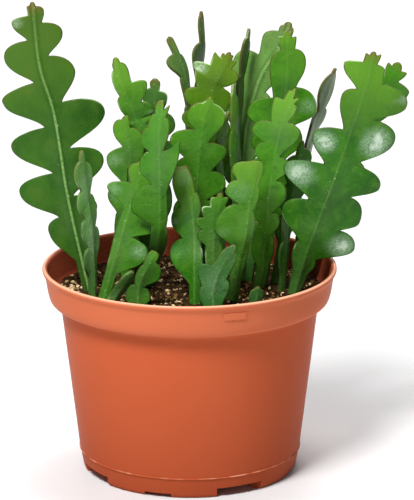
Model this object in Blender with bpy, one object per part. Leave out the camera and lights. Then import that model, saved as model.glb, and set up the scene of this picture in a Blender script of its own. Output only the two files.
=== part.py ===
# Potted fishbone cactus: a nursery pot, its soil, and flat zig-zag stems standing in holes in the soil.
# Lengths in the tables are millimetres; Blender objects are in metres, +Z up, floor at z = 0.
# The origin is under the middle of the plant's footprint; the pot's axis stands at POT_X.

import math
import random

import bpy
import bmesh
from mathutils import Vector
from mathutils.geometry import delaunay_2d_cdt, interpolate_bezier

MM = 0.001

# Pot
POT_X = -9.0
POT_HEIGHT = 107.7
RIM_RADIUS = 76.0
BAND_LOW = 89.9
BAND_RADIUS = 73.3
BODY_TOP_RADIUS = 66.9
BODY_LOW_RADIUS = 57.4
BODY_LOW = 10.9
FOOT_RADIUS = 54.2
FOOT_INNER_RADIUS = 49.5
FLOOR_UNDER = 5.5
FLOOR_TOP = 7.7
WALL = 1.3
LEDGE_TOP = 90.8
POT_SIDES = 64

# Gaps in the foot ring: four tall splayed ones and four low ones, in turn
FOOT_GAPS = 4
TALL_GAP = dict(angle=28.0, height=5.0, outer=20.0, inner=11.0)
LOW_GAP = dict(angle=-17.0, height=2.3, outer=13.5, inner=12.5)
DRAIN_RADIUS = 5.0
DRAIN_CIRCLE = 38.0
TAB = dict(angle=18.0, width=11.6, height=3.6, low=99.6, proud=0.7)

# Soil
SOIL_TOP = 92.0
SOIL_RADIUS = 70.4
SOIL_GAP = 0.3
SOIL_RINGS = 6
SOIL_SPOKES = 36
SOIL_RELIEF = 1.2
HOLE_SIDES = 10
HOLE_DEPTH = 12.0

# Stems
ROOT_DEPTH = 11.6
ROOT_HALF_WIDTH = 3.2
RIB_THICKNESS = 3.8
MARGIN_THICKNESS = 1.3
SPINE_STEPS = 12
LOWER_STEPS = 5
UPPER_STEPS = 3
HOLE_RADIUS = 4.0


def even_lobes(first, last, pitch, neck, reach):
    """A margin of equal lobes, each with its tip a little above its middle."""
    count = max(1, round((last - first) / pitch))
    step = (last - first) / count
    marks = [(first, neck)]
    for i in range(count):
        start = first + step * i
        marks += [(start + 0.6 * step, reach), (start + step, neck if i < count - 1 else 0.6 * neck)]
    return marks


# Each stem: its rib from the soil to the tip; turn, the angle of its flat side from the X axis at the root
# and at the tip; curl, how far a full-width margin bends back; wave, the swing of the margins; left and
# right, the margins as (length along the rib, distance from it): a notch, then a lobe's tip and the next
# notch in turn.
STEMS = {
    "stem_tall_left": dict(
        spine=[(-61, 5, 92), (-65, 5, 110), (-72, 4, 145), (-78, 2, 187), (-85, 0, 213), (-88, -2, 246)],
        turn=(4, 8), curl=2.0, wave=0.05,
        left=[(17, 3.2), (36, 13.5), (42, 6.5), (58, 24), (65.5, 5.5), (81.5, 24.5), (90.5, 6),
              (111, 23.5), (115.5, 5), (129, 17), (137, 4.5), (147, 11.5), (150, 3), (154, 3.2), (155, 1.6)],
        right=[(15, 3.2), (28, 10), (34, 3), (44, 14), (52, 3), (69, 21.5), (77.5, 5), (92, 26),
               (101.5, 5.5), (116, 17), (127.5, 5.5), (139, 14), (145.5, 4), (151.5, 5.5), (154.5, 1.5)]),
    "stem_narrow_left": dict(
        spine=[(-59, -7, 92), (-59, -8, 113), (-60, -8, 131), (-62, -9, 150), (-64, -10, 171)],
        turn=(64, 58), curl=0.5, wave=0.03,
        left=even_lobes(12, 74, 16, 4.2, 8.0), right=even_lobes(20, 72, 16, 4.2, 8.0)),
    "stem_front_left": dict(
        spine=[(-53, -9, 92), (-48, -8, 110), (-42, -6, 131), (-37, -5, 146), (-33, -4, 164)],
        turn=(-12, -4), curl=1.5, wave=0.06,
        left=[(20, 3.2), (36, 3.8), (49, 3.5), (57.5, 15), (62.5, 3.5), (69, 6), (73, 2.5)],
        right=[(14, 3.2), (28.5, 16), (35, 5.5), (43, 16), (47, 3.4), (61, 9), (69, 2.6), (71.5, 3),
               (73.5, 2)]),
    "stem_upper_left": dict(
        spine=[(-35, 24, 92), (-33, 22, 136), (-35, 19, 173), (-37, 19, 181), (-40, 17, 190),
               (-44, 15, 200), (-47, 14, 214)],
        turn=(14, 8), curl=2.0, wave=0.06,
        left=[(24, 4), (40, 9), (50, 5), (64, 10), (76, 5), (84, 6.5), (89, 3.5), (99.5, 6), (104, 3.4),
              (112, 4.2), (118, 2.2), (120, 2.4), (122, 1.8)],
        right=[(30, 4), (46, 10), (56, 5), (70, 9), (78, 4), (82.5, 8.5), (85, 4), (89.5, 11), (96.5, 6),
               (105.5, 12.5), (109, 5.5), (115, 5.5), (121.5, 2)]),
    "stem_shaded_left": dict(
        spine=[(-29, 38, 92), (-28, 38, 143), (-27, 37, 170), (-27, 36, 186), (-27, 36, 198)],
        turn=(-14, -8), curl=2.0, wave=0.06,
        left=[(18, 4), (34, 10), (48, 5), (66, 11), (72.5, 5), (84, 9), (89, 4.5), (95, 6.5), (101, 2.5),
              (103, 2.8), (105, 2)],
        right=[(24, 4), (40, 10), (52, 5), (67, 11.5), (73.5, 5), (81, 10.5), (88, 4), (96.5, 6.5),
               (99.5, 2.4), (103, 2.8), (105, 2)]),
    "stem_mid_left": dict(
        spine=[(-42, 12, 92), (-41, 13, 128), (-40, 13, 150), (-40, 12, 166), (-42, 12, 178),
               (-41, 12, 184)],
        turn=(10, 4), curl=1.5, wave=0.05,
        left=[(8, 3.2), (30, 7), (40, 6), (49.5, 11), (55, 3.6), (69.5, 12), (76, 3.5), (85, 6.5),
              (89.5, 2.2)],
        right=[(12, 3.2), (26, 6.5), (34, 3.8), (42, 7.5), (49, 3.8), (58.5, 8.5), (65, 3.8), (77, 8.5),
               (85.5, 2.6), (88, 2.6), (90.5, 1.6)]),
    "stem_centre_left": dict(
        spine=[(-30, 16, 92), (-28, 8, 106), (-25, -7, 121), (-24, -15, 137), (-24, -20, 159),
               (-24, -20, 174), (-24, -19, 183), (-22, -18, 199)],
        turn=(-10, -4), curl=1.8, wave=0.05,
        left=[(20, 3.2), (38, 4.4), (50, 4), (60, 15), (74.5, 4), (84, 10.5), (92, 5.5), (97, 9.5),
              (103.5, 6), (105, 6), (111, 3.4), (114, 3.6), (118, 1.6)],
        right=[(22, 3.2), (38, 4.2), (50, 3.6), (58, 4.2), (70, 3.8), (97, 10.5), (92.5, 2.4), (104, 5.2),
               (110, 2.6), (117, 3.8), (113.5, 1.2)]),
    "stem_thin_left": dict(
        spine=[(-12, 34, 92), (-8, 35, 140), (-8, 36, 172), (-11, 37, 195), (-15, 40, 208), (-20, 42, 219)],
        turn=(70, 50), curl=1.0, wave=0.04,
        left=[(24, 3.4), (38, 5), (48, 3.4), (62, 5), (70, 3.2), (84, 5), (92, 3), (104, 4), (107, 3.2),
              (116, 9.5), (120.5, 2.4), (126, 2.4), (129, 1.2)],
        right=[(30, 3.4), (44, 5), (55, 3.4), (67, 5), (76, 3.2), (92, 5), (100, 3), (112, 4.5),
               (119, 2.2), (126, 2.2), (129, 1)]),
    "stem_thin_centre": dict(
        spine=[(-3, 54, 92), (-5, 57, 158), (-5, 58, 185), (-3, 58, 206), (-3, 59, 229)],
        turn=(84, 60), curl=1.0, wave=0.03,
        left=[(30, 3.4), (45, 8), (58, 3.4), (74, 8), (84, 3.4), (92, 5), (100, 3.4), (114, 10),
              (121, 2.4), (129, 2.8), (135, 1.2)],
        right=[(40, 3.4), (54, 5), (70, 3.4), (85, 5), (98, 3.4), (110, 3.6), (121, 2.2), (129, 2.4),
               (135, 1.2)]),
    "stem_olive_top": dict(
        spine=[(1, 25, 92), (0, 24, 157), (2, 23, 192), (6, 22, 202), (12, 22, 215)],
        turn=(12, 8), curl=2.2, wave=0.06,
        left=[(22, 4), (36, 11), (46, 5.5), (56, 12), (64, 6.5), (73, 12.5), (80, 7), (88, 14), (92, 8),
              (99.5, 14), (103, 8), (112.5, 15), (115, 7), (122, 7.4), (120.3, 3.8), (123.5, 3.6), (122.8, 1.7)],
        right=[(28, 4), (44, 11), (54, 6), (65.5, 12), (73, 5.5), (81.5, 12), (88, 5.5), (97, 11),
               (107, 5), (113.5, 10), (117.5, 4.6), (121.5, 5.6), (121.6, 2.8), (124, 2.6), (123.8, 1)]),
    "stem_centre_back": dict(
        spine=[(-5, 8, 92), (-6, 8, 132), (-5, 8, 155), (-4, 7, 168), (-2, 6, 182), (2, 6, 195)],
        turn=(8, 4), curl=2.0, wave=0.05,
        left=[(12, 3.6), (26, 9), (32, 5.5), (42, 11.5), (49, 6), (59, 12.5), (70.5, 7.5), (79, 15.5),
              (85.5, 3.6), (92, 9), (99.5, 3.4), (101.5, 2)],
        right=[(14, 3.6), (25, 9), (31, 6), (41, 12.5), (48, 6), (56.5, 15.5), (63.5, 7.5), (75, 14.5),
               (79.5, 4.6), (94, 11), (101, 2.5), (102, 2), (103, 1)]),
    "stem_centre_front": dict(
        spine=[(-6, -19, 92), (-6, -15, 111), (-6, -10, 126), (-8, -8, 144), (-11, -6, 155), (-13, -5, 161)],
        turn=(-18, -22), curl=1.2, wave=0.04,
        left=[(10, 3.3), (27, 14), (34, 7), (42.5, 13), (50.5, 6.5), (61, 8), (68, 5.5), (70, 5), (72.5, 3)],
        right=[(10, 3.3), (22, 4.2), (29, 3), (37, 4.6), (43.5, 3), (51, 5), (57, 3.4), (66, 4), (72, 2.5)]),
    "stem_small_curled": dict(
        spine=[(3, -12, 92), (3, -13, 107), (3, -14, 122), (4, -15, 133), (6, -15, 143), (7, -15, 150)],
        turn=(8, 10), curl=1.2, wave=0.06,
        left=[(12, 2), (25, 4), (30, 4), (35, 8.5), (38, 6.4), (42, 10.5), (44, 6.6), (49, 8.5),
              (50.5, 4.6), (55, 5), (56, 2)],
        right=[(13, 2.2), (26, 5.5), (32, 4), (40, 6), (44, 3.6), (50, 5), (51.5, 3.4), (55.5, 4.4),
               (56, 1.6)]),
    "stem_front_right": dict(
        spine=[(13, -11, 92), (16, -13, 113), (19, -15, 127), (21, -16, 143), (23, -16, 153),
               (25, -16, 167)],
        turn=(14, 20), curl=1.6, wave=0.05,
        left=[(12, 3.2), (20, 3.6), (29, 5), (40, 16.5), (53, 6), (58, 14), (65.5, 9), (71.5, 12),
              (75.5, 5)],
        right=[(14, 3.2), (27, 4.4), (34, 3), (43, 4.6), (49.5, 3), (57.5, 4.6), (63, 3), (72, 4.5),
               (76, 2.5)]),
    "stem_mid_right": dict(
        spine=[(27, 12, 92), (29, 10, 103), (30, 6, 117), (31, 2, 132), (33, -2, 155), (37, -4, 179),
               (42, -5, 194), (45, -5, 202)],
        turn=(-8, -12), curl=2.0, wave=0.06,
        left=[(12, 3.6), (22, 7), (37, 3.8), (44, 6.5), (52, 4.2), (59.5, 11), (71, 6), (76.5, 11),
              (82, 6.5), (86.5, 14.5), (93, 6), (105, 8.5), (106, 4), (110, 3.4), (112, 1.4)],
        right=[(14, 3.4), (24, 5), (32, 3.2), (40, 6.5), (45, 3), (56, 9), (63.5, 3.2), (72, 8.5),
               (76.5, 3), (92, 10.5), (96, 3), (103, 4.5), (106, 2.4), (110, 3.6), (108.2, 1.3)]),
    "stem_grey_back": dict(
        spine=[(23, 46, 92), (19, 46, 130), (19, 46, 149), (21, 46, 171), (28, 45, 197), (39, 45, 214),
               (43, 45, 226)],
        turn=(-14, -8), curl=2.0, wave=0.05,
        left=[(24, 4), (36, 9.5), (44, 5), (52.5, 10.5), (59.5, 6), (67.5, 12), (76, 7.5), (85, 13),
              (93, 9), (108.5, 17), (115, 7), (127, 11), (133, 4.5), (134.5, 4.5), (137, 2.5)],
        right=[(26, 4), (36, 9.5), (44, 5.5), (54.5, 12), (60.5, 5.5), (70, 12), (78, 5), (89, 11),
               (99, 5.5), (112, 9.5), (118, 4.4), (126.5, 6.5), (131.5, 3), (134.5, 3.4), (137, 2)]),
    "stem_bright_back": dict(
        spine=[(29, 27, 92), (33, 26, 135), (36, 25, 162), (39, 25, 184), (41, 24, 200), (41, 23, 226)],
        turn=(8, 4), curl=2.0, wave=0.05,
        left=[(24, 4.5), (38, 11), (48, 5.5), (59, 14), (66, 7), (74.5, 14), (80, 6), (88.5, 18), (98, 6),
              (116, 9), (124.5, 3.4), (131.5, 4.8), (131.6, 2.4)],
        right=[(26, 4.5), (40, 11), (49, 5), (59.5, 11.5), (66, 5.5), (76.5, 13), (84, 6.5), (94, 18),
               (105, 5.4), (117.5, 10), (125, 4.4), (131, 5), (131.2, 2.6), (134, 2.6), (133.8, 1)]),
    "stem_thin_middle": dict(
        spine=[(17, 37, 92), (16, 37, 160), (17, 37, 187), (18, 37, 199), (20, 38, 213), (22, 38, 224)],
        turn=(76, 66), curl=0.8, wave=0.03,
        left=even_lobes(28, 128, 22, 3.0, 6), right=even_lobes(38, 126, 22, 3.0, 5)),
    "stem_thin_front": dict(
        spine=[(15, 14, 92), (15, 14, 139), (14, 14, 160), (14, 14, 176), (14, 14, 189), (13, 14, 200)],
        turn=(62, 56), curl=0.6, wave=0.03,
        left=even_lobes(22, 104, 20, 2.6, 3.8), right=even_lobes(32, 102, 20, 2.6, 3.8)),
    "stem_thin_slanted": dict(
        spine=[(8, 16, 92), (7, 17, 130), (6, 18, 154), (6, 18, 167), (9, 17, 178), (11, 17, 185)],
        turn=(62, 56), curl=0.5, wave=0.02,
        left=even_lobes(20, 90, 18, 2.6, 4), right=even_lobes(28, 88, 18, 2.6, 4)),
    "stem_broad_right": dict(
        spine=[(45, 2, 92), (47, 1, 100), (52, -3, 119), (60, -8, 143), (66, -10, 161), (75, -12, 189),
               (79, -13, 203), (84, -14, 223)],
        turn=(6, 10), curl=2.2, wave=0.05,
        left=[(12, 4), (25, 7), (29.5, 5.5), (45.5, 19.5), (53.5, 8), (67.5, 26.5), (74, 7), (87.5, 17.5),
              (94.5, 4), (112, 10.5), (117, 4), (129, 13.5), (131.5, 4.4), (136, 4.2), (135.6, 1.9)],
        right=[(11, 4.5), (18, 7), (20.5, 6), (30.5, 25), (40, 13), (45.5, 23), (60, 12), (68, 26),
               (78, 8.5), (94, 25.5), (103, 10), (112, 25.5), (122, 9), (129, 8), (131.5, 3.4), (136.6, 4.2),
               (136, 1.6)]),
    "stem_behind_right": dict(
        spine=[(47, 21, 92), (63, 20, 133), (76, 17, 167), (89, 14, 194), (94, 12, 204), (98, 11, 212)],
        turn=(-14, -8), curl=1.6, wave=0.05,
        left=[(15, 4), (23, 10), (32, 6.5), (41, 12), (48, 6), (60, 12), (68.5, 5), (79, 11), (87, 5),
              (98.5, 10), (106, 4), (114, 7), (119.5, 3.4), (128, 5), (127.7, 2.4)],
        right=[(14, 3.4), (23, 5), (33, 4.4), (44.5, 10.5), (52.5, 5), (64.5, 12), (73.5, 5), (84.5, 13),
               (94, 5), (118, 12.5), (121.5, 4.6), (127.5, 6.4), (127.4, 3.2)]),
    "stem_wavy_right": dict(
        spine=[(37, 34, 92), (46, 40, 134), (54, 42, 163), (57, 42, 173), (61, 43, 184), (64, 43, 193),
               (67, 43, 202)],
        turn=(62, 70), curl=1.4, wave=0.09,
        left=even_lobes(24, 112, 20, 4.2, 11), right=even_lobes(34, 112, 20, 4.2, 10)),
    "stem_small_right": dict(
        spine=[(36, 20, 92), (41, 18, 121), (45, 15, 149), (47, 13, 161), (49, 12, 171)],
        turn=(30, 20), curl=1.6, wave=0.05,
        left=even_lobes(22, 72, 17, 3.4, 7), right=even_lobes(28, 76, 16, 3.4, 8)),
    "stem_low_powdery": dict(
        spine=[(3, -28, 92), (3, -28, 103), (7, -26, 114), (14, -24, 125)],
        turn=(6, 10), curl=1.4, wave=0.05,
        left=[(2, 5), (8, 7), (11, 6), (19, 10.5), (21.5, 5), (26, 4), (34, 2)],
        right=[(2, 5), (12, 8.5), (18, 5.5), (26, 6), (33, 2)]),
    "sprout_low_left": dict(
        spine=[(-35, -24, 92), (-35, -25, 101), (-33, -26, 109), (-29, -26, 117), (-26, -25, 122)],
        turn=(-6, 6), curl=1.4, wave=0.05,
        left=[(1, 3.2), (4.5, 6.4), (12, 2.5), (17, 3.4), (23, 2.4), (28, 2.8), (32, 1.5)],
        right=[(1, 3.2), (5, 6.6), (11.5, 2.7), (20, 9), (27, 3.2), (29, 3.2), (32, 1.5)]),
    "sprout_blade": dict(
        spine=[(-50, -18, 92), (-44, -20, 101), (-38, -22, 111)],
        turn=(24, 24), curl=0.5, wave=0.02,
        left=[(4, 3), (13, 3.8), (21, 2)],
        right=[(4, 3), (13, 3.8), (21, 2)]),
    "sprout_bluish": dict(
        spine=[(24, -22, 92), (25, -23, 97), (26, -24, 103)],
        turn=(10, 10), curl=0.5, wave=0.02,
        left=[(1, 2.6), (6, 4), (10, 1.8)],
        right=[(2, 2.6), (6, 4), (10, 1.8)]),
    "stem_shaded_right": dict(
        spine=[(39, 9, 92), (40, 9, 107), (41, 9, 122), (41, 9, 137)],
        turn=(62, 54), curl=1.2, wave=0.05,
        left=even_lobes(8, 43, 16, 3.2, 5.5), right=even_lobes(12, 43, 16, 3, 4.5)),
    "stem_shaded_middle": dict(
        spine=[(21, 24, 92), (22, 22, 108), (23, 20, 128)],
        turn=(-20, -10), curl=1.0, wave=0.05,
        left=even_lobes(8, 34, 13, 3.6, 8), right=even_lobes(10, 34, 12, 3.6, 7)),
}

# What keeps a stem's colour apart from its neighbours': fresh growth is yellower, old stems greyer
STEM_COLOURS = {
    "stem_olive_top": (0.20, 0.36, 0.05),
    "stem_grey_back": (0.10, 0.20, 0.07),
    "stem_thin_left": (0.07, 0.15, 0.07),
    "stem_wavy_right": (0.13, 0.20, 0.08),
    "sprout_bluish": (0.05, 0.18, 0.12),
}
STEM_COLOUR = (0.07, 0.26, 0.04)


def clear_scene():
    for item in list(bpy.data.objects):
        bpy.data.objects.remove(item)


def principled(name, colour, roughness, metallic=0.0):
    material = bpy.data.materials.new(name)
    material.use_nodes = True
    shader = material.node_tree.nodes["Principled BSDF"]
    shader.inputs["Base Color"].default_value = (*colour, 1.0)
    shader.inputs["Roughness"].default_value = roughness
    shader.inputs["Metallic"].default_value = metallic
    return material


def object_from(name, mesh, material=None):
    piece = bpy.data.objects.new(name, mesh)
    bpy.context.collection.objects.link(piece)
    if material:
        mesh.materials.append(material)
    return piece


def mesh_from(name, points, faces, smooth_angle=None):
    """A mesh from points in millimetres, with its faces turned outwards."""
    mesh = bpy.data.meshes.new(name)
    mesh.from_pydata([Vector(p) * MM for p in points], [], faces)
    shell = bmesh.new()
    shell.from_mesh(mesh)
    bmesh.ops.recalc_face_normals(shell, faces=shell.faces[:])
    shell.to_mesh(mesh)
    shell.free()
    if smooth_angle:
        mesh.shade_smooth()
        mesh.set_sharp_from_angle(angle=math.radians(smooth_angle))
    return mesh


def turned(name, profile, sides, centre_x):
    """A solid of revolution from (radius, height) points; a flat disc closes it at both ends."""
    points = []
    for radius, height in profile:
        for k in range(sides):
            angle = 2 * math.pi * k / sides
            points.append((centre_x + radius * math.cos(angle), radius * math.sin(angle), height))
    last = (len(profile) - 1) * sides
    faces = [tuple(range(sides)), tuple(range(last, last + sides))]
    for a in range(0, last, sides):
        for k in range(sides):
            k2 = (k + 1) % sides
            faces.append((a + k, a + k2, a + sides + k2, a + sides + k))
    return mesh_from(name, points, faces, smooth_angle=35)


def cut_with(piece, cutters, solver="EXACT"):
    """Takes every cutter out of the piece, one Boolean on their collection."""
    group = bpy.data.collections.new(piece.name + "_cutters")
    bpy.context.scene.collection.children.link(group)
    for cutter in cutters:
        bpy.context.collection.objects.unlink(cutter)
        group.objects.link(cutter)
        cutter.hide_render = True
        cutter.display_type = "WIRE"
    change = piece.modifiers.new("cuts", "BOOLEAN")
    change.operation = "DIFFERENCE"
    change.operand_type = "COLLECTION"
    change.collection = group
    change.solver = solver


def prism(name, base, low, high):
    """An upright prism on a convex outline of (x, y) points."""
    count = len(base)
    points = [(x, y, low) for x, y in base] + [(x, y, high) for x, y in base]
    faces = [tuple(range(count)), tuple(range(count, 2 * count))]
    faces += [(k, (k + 1) % count, count + (k + 1) % count, count + k) for k in range(count)]
    return object_from(name, mesh_from(name, points, faces))


def round_prism(name, x, y, radius, sides, low, high):
    ring = [(x + radius * math.cos(2 * math.pi * k / sides), y + radius * math.sin(2 * math.pi * k / sides))
            for k in range(sides)]
    return prism(name, ring, low, high)


def wall_point(angle, radius, across=0.0):
    """A point at this radius from the pot's axis, angle in degrees from the front, and some way across."""
    turn = math.radians(angle)
    out = Vector((math.sin(turn), -math.cos(turn)))
    side = Vector((math.cos(turn), math.sin(turn)))
    point = out * radius + side * across
    return POT_X + point.x, point.y


def foot_gap_cutters(spec):
    """Wedges through the foot ring, wider outside than inside."""
    beyond = 8.0
    slope = (spec["outer"] - spec["inner"]) / (FOOT_RADIUS - FOOT_INNER_RADIUS)
    cutters = []
    for k in range(FOOT_GAPS):
        angle = spec["angle"] + 360.0 / FOOT_GAPS * k
        half_out = (spec["outer"] + slope * beyond) / 2
        half_in = spec["inner"] / 2
        near, far = FOOT_INNER_RADIUS - beyond, FOOT_RADIUS + beyond
        base = [wall_point(angle, near, -half_in), wall_point(angle, FOOT_INNER_RADIUS, -half_in),
                wall_point(angle, far, -half_out), wall_point(angle, far, half_out),
                wall_point(angle, FOOT_INNER_RADIUS, half_in), wall_point(angle, near, half_in)]
        cutters.append(prism("gap_cutter", base, -beyond, spec["height"]))
    return cutters


def drain_cutters():
    cutters = []
    for k in range(FOOT_GAPS):
        x, y = wall_point(TALL_GAP["angle"] + 360.0 / FOOT_GAPS * k, DRAIN_CIRCLE)
        cutters.append(round_prism("drain_cutter", x, y, DRAIN_RADIUS, 12, FLOOR_UNDER - 2, FLOOR_TOP + 2))
    return cutters


def pot_outline():
    """From under the floor round the foot ring, up the outside to the rim, then down the inside."""
    lip_low = POT_HEIGHT - 3.3
    inside = BAND_RADIUS - WALL
    under = [(FOOT_INNER_RADIUS, FLOOR_UNDER), (FOOT_INNER_RADIUS, 0.0)]
    outer = [(FOOT_RADIUS, 0.0), (FOOT_RADIUS + 1.1, 0.7), (FOOT_RADIUS + 1.6, 2.2),
             (BODY_LOW_RADIUS, BODY_LOW), (BODY_TOP_RADIUS, BAND_LOW), (70.6, BAND_LOW + 0.2),
             (72.4, BAND_LOW + 1.7), (BAND_RADIUS, 95.0), (74.6, lip_low), (75.6, lip_low + 0.3),
             (RIM_RADIUS, lip_low + 1.4), (RIM_RADIUS, POT_HEIGHT - 0.9), (75.3, POT_HEIGHT)]
    inner = [(73.9, POT_HEIGHT), (73.2, POT_HEIGHT - 0.8), (inside, 95.0), (inside - 0.8, BAND_LOW + 2.4),
             (70.2, LEDGE_TOP + 0.2), (BODY_TOP_RADIUS - WALL, LEDGE_TOP), (56.0, FLOOR_TOP + 3.0),
             (53.5, FLOOR_TOP)]
    return under + outer + inner


def rim_tab():
    """The small blank tab on the band, a raised plate sunk into the wall."""
    half, sunk = TAB["width"] / 2, 0.9
    radius = BAND_RADIUS + 1.0
    base = [wall_point(TAB["angle"], radius - sunk, -half), wall_point(TAB["angle"], radius - sunk, half),
            wall_point(TAB["angle"], radius + TAB["proud"], half),
            wall_point(TAB["angle"], radius + TAB["proud"], -half)]
    return prism("tab_shape", base, TAB["low"], TAB["low"] + TAB["height"])


def build_pot():
    colour = principled("terracotta_plastic", (0.58, 0.13, 0.045), 0.42)
    pot = object_from("pot", turned("pot", pot_outline(), POT_SIDES, POT_X), colour)
    cut_with(pot, foot_gap_cutters(TALL_GAP) + foot_gap_cutters(LOW_GAP) + drain_cutters())
    tab = rim_tab()
    tab.hide_render = True
    tab.display_type = "WIRE"
    join = pot.modifiers.new("tab", "BOOLEAN")
    join.operation = "UNION"
    join.object = tab
    return pot


def build_soil():
    """A plug of peat that fills the pot, with a crumbly top and a round hole for each stem."""
    colour = principled("peat", (0.05, 0.03, 0.02), 0.95)
    rng = random.Random(7)
    neck = BODY_TOP_RADIUS - WALL
    sides = [(53.2, FLOOR_TOP + SOIL_GAP), (55.6, FLOOR_TOP + 3.4), (neck - 0.7, LEDGE_TOP - 0.5),
             (neck - 0.3, LEDGE_TOP + 0.4), (SOIL_RADIUS - 0.6, LEDGE_TOP + 0.6)]
    points, faces = [], []

    def ring(radius, height, relief=0.0):
        first = len(points)
        for k in range(SOIL_SPOKES):
            angle = 2 * math.pi * k / SOIL_SPOKES
            lift = rng.uniform(-relief, relief)
            points.append((POT_X + radius * math.cos(angle), radius * math.sin(angle), height + lift))
        return first

    rings = [ring(radius, height) for radius, height in sides]
    rings.append(ring(SOIL_RADIUS, SOIL_TOP + 0.2, 0.3))
    for i in range(1, SOIL_RINGS):
        rings.append(ring(SOIL_RADIUS * (1 - i / SOIL_RINGS), SOIL_TOP, SOIL_RELIEF))
    for a, b in zip(rings, rings[1:]):
        for k in range(SOIL_SPOKES):
            k2 = (k + 1) % SOIL_SPOKES
            faces += [(a + k, a + k2, b + k2), (a + k, b + k2, b + k)]
    middle = len(points)
    points.append((POT_X, 0.0, SOIL_TOP))
    last = rings[-1]
    faces += [(last + k, last + (k + 1) % SOIL_SPOKES, middle) for k in range(SOIL_SPOKES)]
    faces.append(tuple(range(SOIL_SPOKES)))
    soil = object_from("soil", mesh_from("soil", points, faces), colour)
    cutters = []
    for spec in STEMS.values():
        x, y, _ = spec["spine"][0]
        low, high = SOIL_TOP - HOLE_DEPTH, SOIL_TOP + 9
        cutters.append(round_prism("hole_cutter", x, y, HOLE_RADIUS, HOLE_SIDES, low, high))
    cut_with(soil, cutters)
    return soil


def catmull(before, start, end, after, t):
    return 0.5 * (2 * start + (end - before) * t + (2 * before - 5 * start + 4 * end - after) * t * t
                  + (3 * start - before - 3 * end + after) * t ** 3)


class Rib:
    """The smooth line through a stem's middle, read by the length along it from the soil."""

    def __init__(self, spine):
        knots = [Vector(p) for p in spine]
        padded = [2 * knots[0] - knots[1]] + knots + [2 * knots[-1] - knots[-2]]
        self.points = []
        for a, b, c, d in zip(padded, padded[1:], padded[2:], padded[3:]):
            self.points += [catmull(a, b, c, d, k / SPINE_STEPS) for k in range(SPINE_STEPS)]
        self.points.append(knots[-1])
        self.stations = [0.0]
        for a, b in zip(self.points, self.points[1:]):
            self.stations.append(self.stations[-1] + (b - a).length)
        self.length = self.stations[-1]

    def at(self, station):
        """The point and the direction at this length; below the soil the rib goes straight down."""
        if station <= 0:
            return self.points[0] + Vector((0, 0, station)), Vector((0, 0, 1))
        station = min(station, self.length)
        i = max(k for k in range(len(self.points) - 1) if self.stations[k] <= station)
        share = (station - self.stations[i]) / (self.stations[i + 1] - self.stations[i])
        point = self.points[i].lerp(self.points[i + 1], share)
        ahead = self.points[min(i + 2, len(self.points) - 1)] - self.points[max(i - 1, 0)]
        bend = min(1.0, station / 8.0)
        return point, Vector((0, 0, 1)).lerp(ahead.normalized(), bend).normalized()


def curve(points, steps):
    """Points of a cubic curve after its first, from four (station, reach) handles."""
    found = interpolate_bezier(*(Vector((*p, 0)) for p in points), steps + 1)
    return [(p.x, p.y) for p in found[1:]]


def side_outline(marks, length):
    """One margin from root to tip, as (station, reach) pairs: lobes swell out and return square."""
    outline = [(-ROOT_DEPTH, ROOT_HALF_WIDTH), (0.0, ROOT_HALF_WIDTH), marks[0]]
    for (low, low_reach), (tip, reach), (high, high_reach) in zip(marks[0::2], marks[1::2], marks[2::2]):
        rise, run = tip - low, max(2.0, high - tip)
        outline += curve([(low, low_reach), (low + 0.3 * rise, low_reach + 0.2 * (reach - low_reach)),
                          (tip - 0.5 * rise, reach), (tip, reach)], LOWER_STEPS)
        outline += curve([(tip, reach), (tip + 0.7 * run, reach),
                          (high, high_reach + 0.45 * (reach - high_reach)), (high, high_reach)], UPPER_STEPS)
    end, width = marks[-1]
    outline.append((end + 0.75 * (length - end), 0.7 * width))
    return outline


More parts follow.
